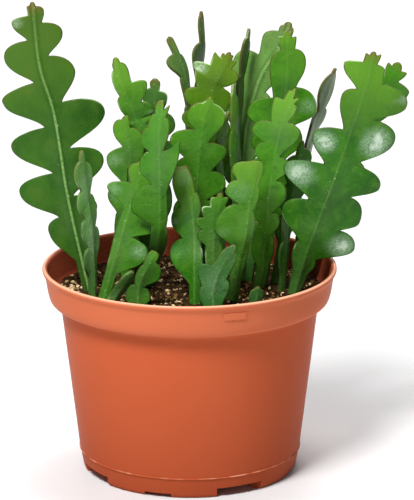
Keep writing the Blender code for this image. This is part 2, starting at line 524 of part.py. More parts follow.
def build_stem(name, spec):
    """A flat stem: one triangle net over its outline and its rib, the same on both faces, and a thin edge."""
    rib = Rib(spec["spine"])
    left = side_outline(spec["left"], rib.length)
    right = side_outline(spec["right"], rib.length)
    tip = (rib.length, 0.0)
    around = right + [tip] + [(s, -w) for s, w in reversed(left)]
    steps = max(4, round((rib.length + ROOT_DEPTH) / 11.0))
    middle = [(-ROOT_DEPTH + (rib.length + ROOT_DEPTH) * k / steps, 0.0) for k in range(1, steps)]
    flat = [Vector((s, w)) for s, w in around + middle]
    count = len(around)
    tip_index = around.index(tip)
    chain = list(range(count, count + len(middle))) + [tip_index]
    loop_edges = [(k, (k + 1) % count) for k in range(count)]
    found = delaunay_2d_cdt(flat, loop_edges + list(zip(chain, chain[1:])), [list(range(count))], 1, 1e-4)
    net, triangles = found[0], found[2]
    edge_ids = {}
    for index, origins in enumerate(found[3]):
        for origin in origins:
            edge_ids[origin] = index
    rim = [edge_ids[k] for k in range(count)]
    low_turn, high_turn = (math.radians(a) for a in spec["turn"])
    phase = sum(ord(c) for c in name)

    def placed(s, w, face):
        point, up = rib.at(s)
        share = min(1.0, max(0.0, s / rib.length))
        turn = low_turn + (high_turn - low_turn) * share
        side = Vector((math.cos(turn), math.sin(turn), 0))
        side = (side - up * side.dot(up)).normalized()
        front = side.cross(up)
        growth = min(1.0, share * 4)
        swing = spec["wave"] * w * math.sin(0.13 * s + phase + (1.6 if w > 0 else 0.0)) * growth
        back = spec["curl"] * (w / 20.0) ** 2 * growth
        edge = min(1.0, abs(w) / 5.0)
        taper = 1.0 - 0.45 * share
        thick = (RIB_THICKNESS * (1 - edge) * taper + MARGIN_THICKNESS * edge) / 2
        return point + side * w + front * (swing - back + face * thick)

    points = [placed(p.x, p.y, 1) for p in net] + [placed(p.x, p.y, -1) for p in net]
    total = len(net)
    faces = [tuple(t) for t in triangles]
    faces += [tuple(total + k for k in reversed(t)) for t in triangles]
    for a, b in zip(rim, rim[1:] + rim[:1]):
        faces += [(a, b, total + b), (a, total + b, total + a)]
    colour = principled(name + "_skin", STEM_COLOURS.get(name, STEM_COLOUR), 0.4)
    return object_from(name, mesh_from(name, points, faces, smooth_angle=50), colour)


def main():
    clear_scene()
    build_pot()
    build_soil()
    for name, spec in STEMS.items():
        build_stem(name, spec)


main()
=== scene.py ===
import math
import random
from contextlib import contextmanager
from itertools import accumulate

import bpy
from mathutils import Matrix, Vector, noise
from mathutils.geometry import interpolate_bezier


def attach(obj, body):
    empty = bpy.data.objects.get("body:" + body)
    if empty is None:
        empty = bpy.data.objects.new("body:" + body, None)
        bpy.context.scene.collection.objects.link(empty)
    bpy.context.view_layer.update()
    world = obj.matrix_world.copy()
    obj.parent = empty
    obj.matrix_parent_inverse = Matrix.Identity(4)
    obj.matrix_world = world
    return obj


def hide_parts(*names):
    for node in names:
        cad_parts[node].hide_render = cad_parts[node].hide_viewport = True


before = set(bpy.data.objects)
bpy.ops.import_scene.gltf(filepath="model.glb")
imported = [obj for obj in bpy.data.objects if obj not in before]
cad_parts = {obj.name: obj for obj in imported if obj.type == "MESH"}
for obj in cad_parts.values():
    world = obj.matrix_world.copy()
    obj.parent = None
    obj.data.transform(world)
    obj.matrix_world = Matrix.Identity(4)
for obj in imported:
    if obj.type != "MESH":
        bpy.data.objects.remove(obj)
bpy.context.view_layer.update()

mm = 0.001
potX = -9.0  # the pot's axis, mm; the same number as in the part
sameSpot = 0.00001  # points closer than this are one point, m
print("frame loaded:", len(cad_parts), "nodes")


# small tools

def deselectAll():
    if bpy.context.mode != "OBJECT":
        bpy.ops.object.mode_set(mode="OBJECT")
    bpy.ops.object.select_all(action="DESELECT")


def only(piece):
    deselectAll()
    piece.select_set(True)
    bpy.context.view_layer.objects.active = piece


@contextmanager
def editing(piece, action="SELECT"):
    # edit mode on one piece, with all of it picked or nothing
    only(piece)
    bpy.ops.object.mode_set(mode="EDIT")
    bpy.ops.mesh.select_all(action=action)
    yield
    bpy.ops.object.mode_set(mode="OBJECT")


def named(name):
    piece = bpy.context.active_object
    piece.name = piece.data.name = name
    return piece


def applyAll(piece):
    only(piece)
    for change in list(piece.modifiers):
        bpy.ops.object.modifier_apply(modifier=change.name)


def outward(piece):
    with editing(piece):
        bpy.ops.mesh.normals_make_consistent(inside=False)


def gridPiece(name, columns, rows):
    # a flat grid of faces, columns by rows, to be shaped point by point
    deselectAll()
    bpy.ops.mesh.primitive_grid_add(x_subdivisions=columns, y_subdivisions=rows, size=1)
    return named(name)


def mergeDoubles(piece):
    with editing(piece):
        bpy.ops.mesh.remove_doubles(threshold=sameSpot)


def pickOpenEdges():
    bpy.ops.mesh.select_mode(type="EDGE")
    bpy.ops.mesh.select_non_manifold(extend=False, use_wire=False, use_multi_face=False,
                                     use_non_contiguous=False)


def extrudeRings(profile, radius, height):
    # carries the picked ring of edges from point to point of a profile round the pot's axis
    for r, z in profile:
        bpy.ops.mesh.extrude_region_move(TRANSFORM_OT_translate={"value": (0, 0, (z - height) * mm)})
        bpy.ops.transform.resize(value=(r / radius, r / radius, 1), center_override=(potX * mm, 0, z * mm))
        radius, height = r, z


def floatAttribute(mesh, name, values):
    layer = mesh.attributes.new(name, "FLOAT", "POINT")
    layer.data.foreach_set("value", values)


def coat(piece, material):
    piece.data.materials.clear()
    piece.data.materials.append(material)


def smoothStep(low, high, x):
    t = min(1.0, max(0.0, (x - low) / (high - low)))
    return t * t * (3 - 2 * t)


# material tools

class Nodes:
    # short ways to add nodes to one tree and join them

    def __init__(self, tree):
        self.tree = tree

    def add(self, kind, **settings):
        node = self.tree.nodes.new(kind)
        for key, value in settings.items():
            setattr(node, key, value)
        return node

    def put(self, socket, value):
        # joins a socket to another one, or sets its own number or colour
        if hasattr(value, "is_linked"):
            self.tree.links.new(value, socket)
        elif isinstance(value, (tuple, list)) and len(value) == 3 and len(socket.default_value) == 4:
            socket.default_value = (*value, 1.0)
        else:
            socket.default_value = value

    def fill(self, node, values):
        for name, value in values.items():
            self.put(node.inputs[name], value)

    def math(self, operation, a, b=0.0, clamp=False):
        node = self.add("ShaderNodeMath", operation=operation, use_clamp=clamp)
        self.put(node.inputs[0], a)
        self.put(node.inputs[1], b)
        return node.outputs[0]

    def plus(self, a, b):
        return self.math("ADD", a, b)

    def times(self, a, b, clamp=False):
        return self.math("MULTIPLY", a, b, clamp)

    def weighted(self, *parts):
        # the sum of sockets, each times its weight
        total = None
        for socket, weight in parts:
            part = self.times(socket, weight)
            total = part if total is None else self.plus(total, part)
        return total

    def mix(self, share, a, b):
        node = self.add("ShaderNodeMix", data_type="RGBA")
        for number, value in ((0, share), (6, a), (7, b)):
            self.put(node.inputs[number], value)
        return node.outputs[2]

    def layers(self, colour, *coats):
        # coats are (share, colour), each laid over the ones before
        for share, shade in coats:
            colour = self.mix(share, colour, shade)
        return colour

    def ramp(self, value, stops):
        # stops are (position, grey or colour)
        node = self.add("ShaderNodeValToRGB")
        while len(node.color_ramp.elements) < len(stops):
            node.color_ramp.elements.new(0.5)
        for element, (position, shade) in zip(node.color_ramp.elements, stops):
            element.position = position
            colour = (shade, shade, shade) if isinstance(shade, (int, float)) else shade
            element.color = (*colour, 1.0)
        self.put(node.inputs[0], value)
        return node.outputs[0]

    def spread(self, value, low, high, outLow=0.0, outHigh=1.0):
        node = self.add("ShaderNodeMapRange")
        for socket, number in zip(node.inputs[:5], (value, low, high, outLow, outHigh)):
            self.put(socket, number)
        return node.outputs[0]

    def noise(self, vector, scale, detail=3.0, roughness=0.55, distortion=0.0):
        node = self.add("ShaderNodeTexNoise")
        self.fill(node, dict(Vector=vector, Scale=scale, Detail=detail, Roughness=roughness,
                             Distortion=distortion))
        return node.outputs[0]

    def cells(self, vector, scale):
        node = self.add("ShaderNodeTexVoronoi")
        self.fill(node, dict(Vector=vector, Scale=scale))
        return node.outputs[0]

    def value(self, name):
        return self.add("ShaderNodeAttribute", attribute_name=name).outputs["Fac"]

    def place(self):
        return self.add("ShaderNodeTexCoord").outputs["Object"]

    def bump(self, shader, height, strength, distance):
        node = self.add("ShaderNodeBump")
        self.fill(node, dict(Strength=strength, Distance=distance, Height=height))
        self.put(shader.inputs["Normal"], node.outputs["Normal"])


def newGroup(name, inputs):
    # takes colours and numbers, puts out a colour, a roughness and a height
    tree = bpy.data.node_groups.new(name, "ShaderNodeTree")
    kinds = {True: "NodeSocketColor", False: "NodeSocketFloat"}
    for label, value in inputs.items():
        isColour = isinstance(value, tuple)
        socket = tree.interface.new_socket(label, in_out="INPUT", socket_type=kinds[isColour])
        socket.default_value = (*value, 1.0) if isColour else value
    for label in ("Color", "Roughness", "Height"):
        tree.interface.new_socket(label, in_out="OUTPUT", socket_type=kinds[label == "Color"])
    nodes = Nodes(tree)
    return tree, nodes, nodes.add("NodeGroupInput").outputs, nodes.add("NodeGroupOutput")


def newMaterial(name):
    material = bpy.data.materials.new(name)
    material.use_nodes = True
    return material, Nodes(material.node_tree), material.node_tree.nodes["Principled BSDF"]


# camera, floor and light

view = dict(distance=1.600, elevation=15.76, lens=223.57, sensor=36.0, aimHeight=0.1156, clip=(0.05, 50.0))
# place, size, power, target
lights = dict(
    key=((-0.50, -0.98, 1.62), 0.6, 49.0, (0, 0, 0.12)),
    fill=((-0.2, -1.8, 0.5), 0.9, 2.2, (0, 0, 0.12)),
    top=((0.15, 0.35, 1.6), 0.7, 16.0, (0, 0, 0.12)),
    rim=((0.9, 1.2, 0.8), 0.7, 3.0, (0, 0, 0.12)),
    back=((0, 1.9, 1.1), 1.2, 22.0, (0, 1.9, 0)))
studio = dict(air=(0.93, 0.96, 1.0), airStrength=0.10, floorSize=12, floorShades=(0.67, 0.69), grain=40.0)


def aimed(piece, target):
    back = piece.location - Vector(target)
    piece.rotation_euler = back.to_track_quat("Z", "Y").to_euler()


def buildCamera():
    tilt = math.radians(view["elevation"])
    back, rise = view["distance"] * math.cos(tilt), view["distance"] * math.sin(tilt)
    deselectAll()
    bpy.ops.object.camera_add()
    camera = named("camera")
    camera.location = (0, -back, view["aimHeight"] + rise)
    aimed(camera, (0, 0, view["aimHeight"]))
    camera.data.lens = view["lens"]
    camera.data.sensor_width = view["sensor"]
    camera.data.clip_start, camera.data.clip_end = view["clip"]
    bpy.context.scene.camera = camera


def buildLights():
    for name, (place, size, power, target) in lights.items():
        bpy.ops.object.light_add(type="AREA", location=place)
        lamp = named(name + "Light")
        lamp.data.shape = "DISK"
        lamp.data.size = size
        lamp.data.energy = power
        aimed(lamp, target)
    world = bpy.data.worlds.new("studio")
    world.use_nodes = True
    Nodes(world.node_tree).fill(world.node_tree.nodes["Background"],
                                dict(Color=studio["air"], Strength=studio["airStrength"]))
    bpy.context.scene.world = world
    bpy.context.scene.view_settings.view_transform = "Standard"


def buildFloor():
    bpy.ops.mesh.primitive_plane_add(size=studio["floorSize"])
    floor = named("floor")
    material, nodes, shader = newMaterial("palePaper")
    grain = nodes.noise(nodes.place(), studio["grain"], 2.0)
    dark, light = studio["floorShades"]
    nodes.fill(shader, {"Base Color": nodes.mix(grain, (dark, dark, dark), (light, light, light)),
                        "Roughness": 0.9, "Specular IOR Level": 0.1})
    floor.data.materials.append(material)


buildCamera()
buildLights()
buildFloor()
print("studio ready")


# effects shared by materials

skinFields = ("along", "fromRib", "fromEdge", "highlightPatch")
skinTint = dict(
    darkMottle=(0.012, 0.060, 0.004), worn=(0.080, 0.165, 0.050), ruddy=(0.20, 0.085, 0.025),
    ribShade=(0.008, 0.040, 0.003), rib=(0.30, 0.52, 0.16), powderAndHighlight=(0.56, 0.72, 0.55), paintedHighlight=(0.80, 0.90, 0.78),
    lowMargin=(0.030, 0.065, 0.010), highMargin=(0.10, 0.060, 0.018), paintedGlint=(0.42, 0.56, 0.30),
    point=(0.66, 0.80, 0.56))


def skinGroup():
    # cactus skin: mottled green that turns fresher towards the tip, a pale speckled rib, a dark thin margin
    tree, nodes, given, leave = newGroup("cactusSkin", {
        "Deep": (0.05, 0.2, 0.02), "Bright": (0.12, 0.35, 0.04), "Fresh": (0.3, 0.4, 0.06),
        "Fresh Start": 0.8, "Rib": 0.6, "Ruddy": 0.5, "Powder": 0.1})
    place = nodes.place()
    along, fromRib, fromEdge, highlightPatch = (nodes.value(name) for name in skinFields)
    clouds = nodes.noise(place, 42.0, 4.0, 0.6)
    mottle = nodes.noise(place, 170.0, 4.0, 0.65, 0.6)
    specks = nodes.noise(place, 650.0, 2.0, 0.7)
    fine = nodes.noise(place, 900.0, 3.0, 0.6)
    grains = nodes.noise(place, 1150.0, 4.0, 0.75)
    # greyer patches beside the rib
    worn = nodes.times(nodes.ramp(fromRib, [(0.1, 0.42), (0.55, 0.0)]),
                       nodes.spread(nodes.noise(place, 28.0, 2.0), 0.42, 0.6))
    # the fresh upper end and its ruddy tip
    young = nodes.weighted((nodes.math("SUBTRACT", along, given["Fresh Start"]), 4.0), (clouds, 0.4))
    ruddy = nodes.plus(nodes.spread(along, 0.955, 1.0), nodes.spread(clouds, 0.3, 0.7, -0.35, 0.15))
    # the rib: a pale line broken by specks, with painted shade on both sides of it
    line = nodes.times(nodes.ramp(fromRib, [(0.0, 1.0), (0.016, 0.75), (0.040, 0.0)]),
                       nodes.spread(specks, 0.3, 0.62, 0.35, 1.0))
    line = nodes.times(line, nodes.spread(along, 0.5, 0.95, 1.0, 0.25))
    ribShade = nodes.ramp(fromRib, [(0.035, 0.0), (0.060, 0.4), (0.13, 0.0)])
    # painted highlight patches, speckled, added to the skin's own powder
    highlightPatch = nodes.times(highlightPatch, nodes.spread(nodes.noise(place, 130.0, 3.0), 0.35, 0.58, 0.62, 1.05))
    powderAndHighlight = nodes.plus(highlightPatch, given["Powder"])
    powderAndHighlight = nodes.times(powderAndHighlight, nodes.ramp(grains, [(0.36, 0.1), (0.6, 1.0)]), True)
    # the thin margin, dark, with painted glints in spots
    edge = nodes.times(nodes.ramp(fromEdge, [(0.0, 1.0), (0.040, 0.8), (0.085, 0.0)]),
                       nodes.spread(nodes.noise(place, 120.0, 2.0), 0.25, 0.6, 0.45, 1.0))
    paintedGlint = nodes.ramp(nodes.noise(place, 45.0, 2.0), [(0.60, 0.0), (0.68, 1.0)])
    border = nodes.layers(skinTint["lowMargin"], (nodes.spread(along, 0.5, 1.0), skinTint["highMargin"]),
                          (paintedGlint, skinTint["paintedGlint"]))
    # tiny white points along the rib and the margin
    near = nodes.math("MAXIMUM", nodes.ramp(fromRib, [(0.05, 1.0), (0.13, 0.0)]),
                      nodes.ramp(fromEdge, [(0.06, 1.0), (0.14, 0.0)]))
    points = nodes.times(nodes.ramp(nodes.cells(place, 420.0), [(0.08, 1.0), (0.18, 0.0)]),
                         nodes.times(near, nodes.spread(specks, 0.45, 0.6)), True)
    body = nodes.layers(
        given["Deep"],
        (nodes.ramp(clouds, [(0.33, 0.0), (0.68, 1.0)]), given["Bright"]),
        (nodes.spread(fine, 0.35, 0.75, 0.0, 0.14), given["Fresh"]),
        (nodes.ramp(mottle, [(0.50, 0.0), (0.72, 0.45)]), given["Fresh"]),
        (nodes.ramp(mottle, [(0.30, 0.40), (0.48, 0.0)]), skinTint["darkMottle"]),
        (worn, skinTint["worn"]),
        (nodes.spread(young, 0.2, 1.2), given["Fresh"]),
        (nodes.times(ruddy, given["Ruddy"], True), skinTint["ruddy"]),
        (nodes.times(ribShade, given["Rib"], True), skinTint["ribShade"]),
        (nodes.times(line, given["Rib"], True), skinTint["rib"]),
        # the skin's own powder with the painted highlight patches, then their pale painted cores
        (powderAndHighlight, skinTint["powderAndHighlight"]),
        (nodes.spread(highlightPatch, 0.55, 0.85, 0.0, 0.5), skinTint["paintedHighlight"]),
        (nodes.times(edge, 0.85), border),
        (nodes.times(points, 0.5), skinTint["point"]))
    rough = nodes.plus(nodes.spread(grains, 0.3, 0.7, 0.30, 0.44), nodes.times(powderAndHighlight, 0.18))
    pores = nodes.cells(place, 900.0)
    relief = nodes.weighted((pores, 0.45), (clouds, 2.4), (mottle, 1.1), (grains, 0.4))
    nodes.fill(leave, dict(Color=body, Roughness=rough, Height=relief))
    return tree


def grainGroup():
    # fine mottling and scuffs of moulded plastic
    tree, nodes, given, leave = newGroup("mouldedGrain", dict(
        Base=(0.5, 0.1, 0.03), Worn=(0.7, 0.3, 0.2), Scuffs=0.3))
    place = nodes.place()
    broad = nodes.noise(place, 14.0, 3.0)
    fine = nodes.noise(place, 1400.0, 3.0, 0.7)
    stretch = nodes.add("ShaderNodeMapping")
    nodes.fill(stretch, dict(Vector=place, Scale=(1.0, 1.0, 7.0)))
    scuff = nodes.ramp(nodes.noise(stretch.outputs[0], 60.0, 6.0, 0.75, 1.5), [(0.60, 0.0), (0.72, 1.0)])
    colour = nodes.layers(
        given["Base"],
        (nodes.spread(broad, 0.3, 0.7, 0.0, 0.16), given["Worn"]),
        (nodes.spread(fine, 0.35, 0.7, 0.0, 0.10), given["Worn"]),
        (nodes.times(scuff, given["Scuffs"]), given["Worn"]))
    rough = nodes.spread(nodes.plus(fine, scuff), 0.3, 1.4, 0.36, 0.56)
    nodes.fill(leave, dict(Color=colour, Roughness=rough, Height=nodes.weighted((fine, 0.6), (broad, 1.5))))
    return tree


skinEffect = skinGroup()
grainEffect = grainGroup()


# the stems

def evenLobes(first, last, pitch, neck, reach):
    # marks of a margin with equal lobes, each widest at six tenths of its length
    count = max(1, round((last - first) / pitch))
    step = (last - first) / count
    marks = [first, neck]
    for i in range(count):
        start = first + step * i
        marks += [start + 0.6 * step, reach, start + step, neck if i < count - 1 else 0.6 * neck]
    return marks


# The stems as in the part. Each has its bend (angle of its flat side at both ends, curl, wave), its rib's
# spine (x, y, z of each knot) and its margins (length along the rib, distance from it: notch, tip, notch...).
stems = dict(
    stem_tall_left=dict(bend=(4, 8, 2.0, 0.05),
        spine=(-61, 5, 92, -65, 5, 110, -72, 4, 145, -78, 2, 187, -85, 0, 213, -88, -2, 246),
        left=(17, 3.2, 36, 13.5, 42, 6.5, 58, 24, 65.5, 5.5, 81.5, 24.5, 90.5, 6, 111, 23.5, 115.5, 5, 129,
            17, 137, 4.5, 147, 11.5, 150, 3, 154, 3.2, 155, 1.6),
        right=(15, 3.2, 28, 10, 34, 3, 44, 14, 52, 3, 69, 21.5, 77.5, 5, 92, 26, 101.5, 5.5, 116, 17,
            127.5, 5.5, 139, 14, 145.5, 4, 151.5, 5.5, 154.5, 1.5)),
    stem_narrow_left=dict(bend=(64, 58, 0.5, 0.03),
        spine=(-59, -7, 92, -59, -8, 113, -60, -8, 131, -62, -9, 150, -64, -10, 171),
        left=evenLobes(12, 74, 16, 4.2, 8.0), right=evenLobes(20, 72, 16, 4.2, 8.0)),
    stem_front_left=dict(bend=(-12, -4, 1.5, 0.06),
        spine=(-53, -9, 92, -48, -8, 110, -42, -6, 131, -37, -5, 146, -33, -4, 164),
        left=(20, 3.2, 36, 3.8, 49, 3.5, 57.5, 15, 62.5, 3.5, 69, 6, 73, 2.5),
        right=(14, 3.2, 28.5, 16, 35, 5.5, 43, 16, 47, 3.4, 61, 9, 69, 2.6, 71.5, 3, 73.5, 2)),
    stem_upper_left=dict(bend=(14, 8, 2.0, 0.06),
        spine=(-35, 24, 92, -33, 22, 136, -35, 19, 173, -37, 19, 181, -40, 17, 190, -44, 15, 200, -47, 14,
            214),
        left=(24, 4, 40, 9, 50, 5, 64, 10, 76, 5, 84, 6.5, 89, 3.5, 99.5, 6, 104, 3.4, 112, 4.2, 118, 2.2,
            120, 2.4, 122, 1.8),
        right=(30, 4, 46, 10, 56, 5, 70, 9, 78, 4, 82.5, 8.5, 85, 4, 89.5, 11, 96.5, 6, 105.5, 12.5, 109,
            5.5, 115, 5.5, 121.5, 2)),
    stem_shaded_left=dict(bend=(-14, -8, 2.0, 0.06),
        spine=(-29, 38, 92, -28, 38, 143, -27, 37, 170, -27, 36, 186, -27, 36, 198),
        left=(18, 4, 34, 10, 48, 5, 66, 11, 72.5, 5, 84, 9, 89, 4.5, 95, 6.5, 101, 2.5, 103, 2.8, 105, 2),
        right=(24, 4, 40, 10, 52, 5, 67, 11.5, 73.5, 5, 81, 10.5, 88, 4, 96.5, 6.5, 99.5, 2.4, 103, 2.8,
            105, 2)),
    stem_mid_left=dict(bend=(10, 4, 1.5, 0.05),
        spine=(-42, 12, 92, -41, 13, 128, -40, 13, 150, -40, 12, 166, -42, 12, 178, -41, 12, 184),
        left=(8, 3.2, 30, 7, 40, 6, 49.5, 11, 55, 3.6, 69.5, 12, 76, 3.5, 85, 6.5, 89.5, 2.2),
        right=(12, 3.2, 26, 6.5, 34, 3.8, 42, 7.5, 49, 3.8, 58.5, 8.5, 65, 3.8, 77, 8.5, 85.5, 2.6, 88,
            2.6, 90.5, 1.6)),
    stem_centre_left=dict(bend=(-10, -4, 1.8, 0.05),
        spine=(-30, 16, 92, -28, 8, 106, -25, -7, 121, -24, -15, 137, -24, -20, 159, -24, -20, 174, -24,
            -19, 183, -22, -18, 199),
        left=(20, 3.2, 38, 4.4, 50, 4, 60, 15, 74.5, 4, 84, 10.5, 92, 5.5, 97, 9.5, 103.5, 6, 105, 6, 111,
            3.4, 114, 3.6, 118, 1.6),
        right=(22, 3.2, 38, 4.2, 50, 3.6, 58, 4.2, 70, 3.8, 97, 10.5, 92.5, 2.4, 104, 5.2, 110, 2.6, 117,
            3.8, 113.5, 1.2)),
    stem_thin_left=dict(bend=(70, 50, 1.0, 0.04),
        spine=(-12, 34, 92, -8, 35, 140, -8, 36, 172, -11, 37, 195, -15, 40, 208, -20, 42, 219),
        left=(24, 3.4, 38, 5, 48, 3.4, 62, 5, 70, 3.2, 84, 5, 92, 3, 104, 4, 107, 3.2, 116, 9.5, 120.5,
            2.4, 126, 2.4, 129, 1.2),
        right=(30, 3.4, 44, 5, 55, 3.4, 67, 5, 76, 3.2, 92, 5, 100, 3, 112, 4.5, 119, 2.2, 126, 2.2, 129, 1)),
    stem_thin_centre=dict(bend=(84, 60, 1.0, 0.03),
        spine=(-3, 54, 92, -5, 57, 158, -5, 58, 185, -3, 58, 206, -3, 59, 229),
        left=(30, 3.4, 45, 8, 58, 3.4, 74, 8, 84, 3.4, 92, 5, 100, 3.4, 114, 10, 121, 2.4, 129, 2.8, 135,
            1.2),
        right=(40, 3.4, 54, 5, 70, 3.4, 85, 5, 98, 3.4, 110, 3.6, 121, 2.2, 129, 2.4, 135, 1.2)),
    stem_olive_top=dict(bend=(12, 8, 2.2, 0.06),
        spine=(1, 25, 92, 0, 24, 157, 2, 23, 192, 6, 22, 202, 12, 22, 215),
        left=(22, 4, 36, 11, 46, 5.5, 56, 12, 64, 6.5, 73, 12.5, 80, 7, 88, 14, 92, 8, 99.5, 14, 103, 8,
            112.5, 15, 115, 7, 122, 7.4, 120.3, 3.8, 123.5, 3.6, 122.8, 1.7),
        right=(28, 4, 44, 11, 54, 6, 65.5, 12, 73, 5.5, 81.5, 12, 88, 5.5, 97, 11, 107, 5, 113.5, 10,
            117.5, 4.6, 121.5, 5.6, 121.6, 2.8, 124, 2.6, 123.8, 1)),
    stem_centre_back=dict(bend=(8, 4, 2.0, 0.05),
        spine=(-5, 8, 92, -6, 8, 132, -5, 8, 155, -4, 7, 168, -2, 6, 182, 2, 6, 195),
        left=(12, 3.6, 26, 9, 32, 5.5, 42, 11.5, 49, 6, 59, 12.5, 70.5, 7.5, 79, 15.5, 85.5, 3.6, 92, 9,
            99.5, 3.4, 101.5, 2),
        right=(14, 3.6, 25, 9, 31, 6, 41, 12.5, 48, 6, 56.5, 15.5, 63.5, 7.5, 75, 14.5, 79.5, 4.6, 94, 11,
            101, 2.5, 102, 2, 103, 1)),
    stem_centre_front=dict(bend=(-18, -22, 1.2, 0.04),
        spine=(-6, -19, 92, -6, -15, 111, -6, -10, 126, -8, -8, 144, -11, -6, 155, -13, -5, 161),
        left=(10, 3.3, 27, 14, 34, 7, 42.5, 13, 50.5, 6.5, 61, 8, 68, 5.5, 70, 5, 72.5, 3),
        right=(10, 3.3, 22, 4.2, 29, 3, 37, 4.6, 43.5, 3, 51, 5, 57, 3.4, 66, 4, 72, 2.5)),
    stem_small_curled=dict(bend=(8, 10, 1.2, 0.06),
        spine=(3, -12, 92, 3, -13, 107, 3, -14, 122, 4, -15, 133, 6, -15, 143, 7, -15, 150),
        left=(12, 2, 25, 4, 30, 4, 35, 8.5, 38, 6.4, 42, 10.5, 44, 6.6, 49, 8.5, 50.5, 4.6, 55, 5, 56, 2),
        right=(13, 2.2, 26, 5.5, 32, 4, 40, 6, 44, 3.6, 50, 5, 51.5, 3.4, 55.5, 4.4, 56, 1.6)),
    stem_front_right=dict(bend=(14, 20, 1.6, 0.05),
        spine=(13, -11, 92, 16, -13, 113, 19, -15, 127, 21, -16, 143, 23, -16, 153, 25, -16, 167),
        left=(12, 3.2, 20, 3.6, 29, 5, 40, 16.5, 53, 6, 58, 14, 65.5, 9, 71.5, 12, 75.5, 5),
        right=(14, 3.2, 27, 4.4, 34, 3, 43, 4.6, 49.5, 3, 57.5, 4.6, 63, 3, 72, 4.5, 76, 2.5)),
    stem_mid_right=dict(bend=(-8, -12, 2.0, 0.06),
        spine=(27, 12, 92, 29, 10, 103, 30, 6, 117, 31, 2, 132, 33, -2, 155, 37, -4, 179, 42, -5, 194, 45,
            -5, 202),
        left=(12, 3.6, 22, 7, 37, 3.8, 44, 6.5, 52, 4.2, 59.5, 11, 71, 6, 76.5, 11, 82, 6.5, 86.5, 14.5,
            93, 6, 105, 8.5, 106, 4, 110, 3.4, 112, 1.4),
        right=(14, 3.4, 24, 5, 32, 3.2, 40, 6.5, 45, 3, 56, 9, 63.5, 3.2, 72, 8.5, 76.5, 3, 92, 10.5, 96,
            3, 103, 4.5, 106, 2.4, 110, 3.6, 108.2, 1.3)),
    stem_grey_back=dict(bend=(-14, -8, 2.0, 0.05),
        spine=(23, 46, 92, 19, 46, 130, 19, 46, 149, 21, 46, 171, 28, 45, 197, 39, 45, 214, 43, 45, 226),
        left=(24, 4, 36, 9.5, 44, 5, 52.5, 10.5, 59.5, 6, 67.5, 12, 76, 7.5, 85, 13, 93, 9, 108.5, 17, 115,
            7, 127, 11, 133, 4.5, 134.5, 4.5, 137, 2.5),
        right=(26, 4, 36, 9.5, 44, 5.5, 54.5, 12, 60.5, 5.5, 70, 12, 78, 5, 89, 11, 99, 5.5, 112, 9.5, 118,
            4.4, 126.5, 6.5, 131.5, 3, 134.5, 3.4, 137, 2)),
    stem_bright_back=dict(bend=(8, 4, 2.0, 0.05),
        spine=(29, 27, 92, 33, 26, 135, 36, 25, 162, 39, 25, 184, 41, 24, 200, 41, 23, 226),
        left=(24, 4.5, 38, 11, 48, 5.5, 59, 14, 66, 7, 74.5, 14, 80, 6, 88.5, 18, 98, 6, 116, 9, 124.5,
            3.4, 131.5, 4.8, 131.6, 2.4),
        right=(26, 4.5, 40, 11, 49, 5, 59.5, 11.5, 66, 5.5, 76.5, 13, 84, 6.5, 94, 18, 105, 5.4, 117.5, 10,
            125, 4.4, 131, 5, 131.2, 2.6, 134, 2.6, 133.8, 1)),
    stem_thin_middle=dict(bend=(76, 66, 0.8, 0.03),
        spine=(17, 37, 92, 16, 37, 160, 17, 37, 187, 18, 37, 199, 20, 38, 213, 22, 38, 224),
        left=evenLobes(28, 128, 22, 3.0, 6), right=evenLobes(38, 126, 22, 3.0, 5)),
    stem_thin_front=dict(bend=(62, 56, 0.6, 0.03),
        spine=(15, 14, 92, 15, 14, 139, 14, 14, 160, 14, 14, 176, 14, 14, 189, 13, 14, 200),
        left=evenLobes(22, 104, 20, 2.6, 3.8), right=evenLobes(32, 102, 20, 2.6, 3.8)),
    stem_thin_slanted=dict(bend=(62, 56, 0.5, 0.02),
        spine=(8, 16, 92, 7, 17, 130, 6, 18, 154, 6, 18, 167, 9, 17, 178, 11, 17, 185),
        left=evenLobes(20, 90, 18, 2.6, 4), right=evenLobes(28, 88, 18, 2.6, 4)),
    stem_broad_right=dict(bend=(6, 10, 2.2, 0.05),
        spine=(45, 2, 92, 47, 1, 100, 52, -3, 119, 60, -8, 143, 66, -10, 161, 75, -12, 189, 79, -13, 203,
            84, -14, 223),
        left=(12, 4, 25, 7, 29.5, 5.5, 45.5, 19.5, 53.5, 8, 67.5, 26.5, 74, 7, 87.5, 17.5, 94.5, 4, 112,
            10.5, 117, 4, 129, 13.5, 131.5, 4.4, 136, 4.2, 135.6, 1.9),
        right=(11, 4.5, 18, 7, 20.5, 6, 30.5, 25, 40, 13, 45.5, 23, 60, 12, 68, 26, 78, 8.5, 94, 25.5, 103,
            10, 112, 25.5, 122, 9, 129, 8, 131.5, 3.4, 136.6, 4.2, 136, 1.6)),
    stem_behind_right=dict(bend=(-14, -8, 1.6, 0.05),
        spine=(47, 21, 92, 63, 20, 133, 76, 17, 167, 89, 14, 194, 94, 12, 204, 98, 11, 212),
        left=(15, 4, 23, 10, 32, 6.5, 41, 12, 48, 6, 60, 12, 68.5, 5, 79, 11, 87, 5, 98.5, 10, 106, 4, 114,
            7, 119.5, 3.4, 128, 5, 127.7, 2.4),
        right=(14, 3.4, 23, 5, 33, 4.4, 44.5, 10.5, 52.5, 5, 64.5, 12, 73.5, 5, 84.5, 13, 94, 5, 118, 12.5,
            121.5, 4.6, 127.5, 6.4, 127.4, 3.2)),
    stem_wavy_right=dict(bend=(62, 70, 1.4, 0.09),
        spine=(37, 34, 92, 46, 40, 134, 54, 42, 163, 57, 42, 173, 61, 43, 184, 64, 43, 193, 67, 43, 202),
        left=evenLobes(24, 112, 20, 4.2, 11), right=evenLobes(34, 112, 20, 4.2, 10)),
    stem_small_right=dict(bend=(30, 20, 1.6, 0.05),
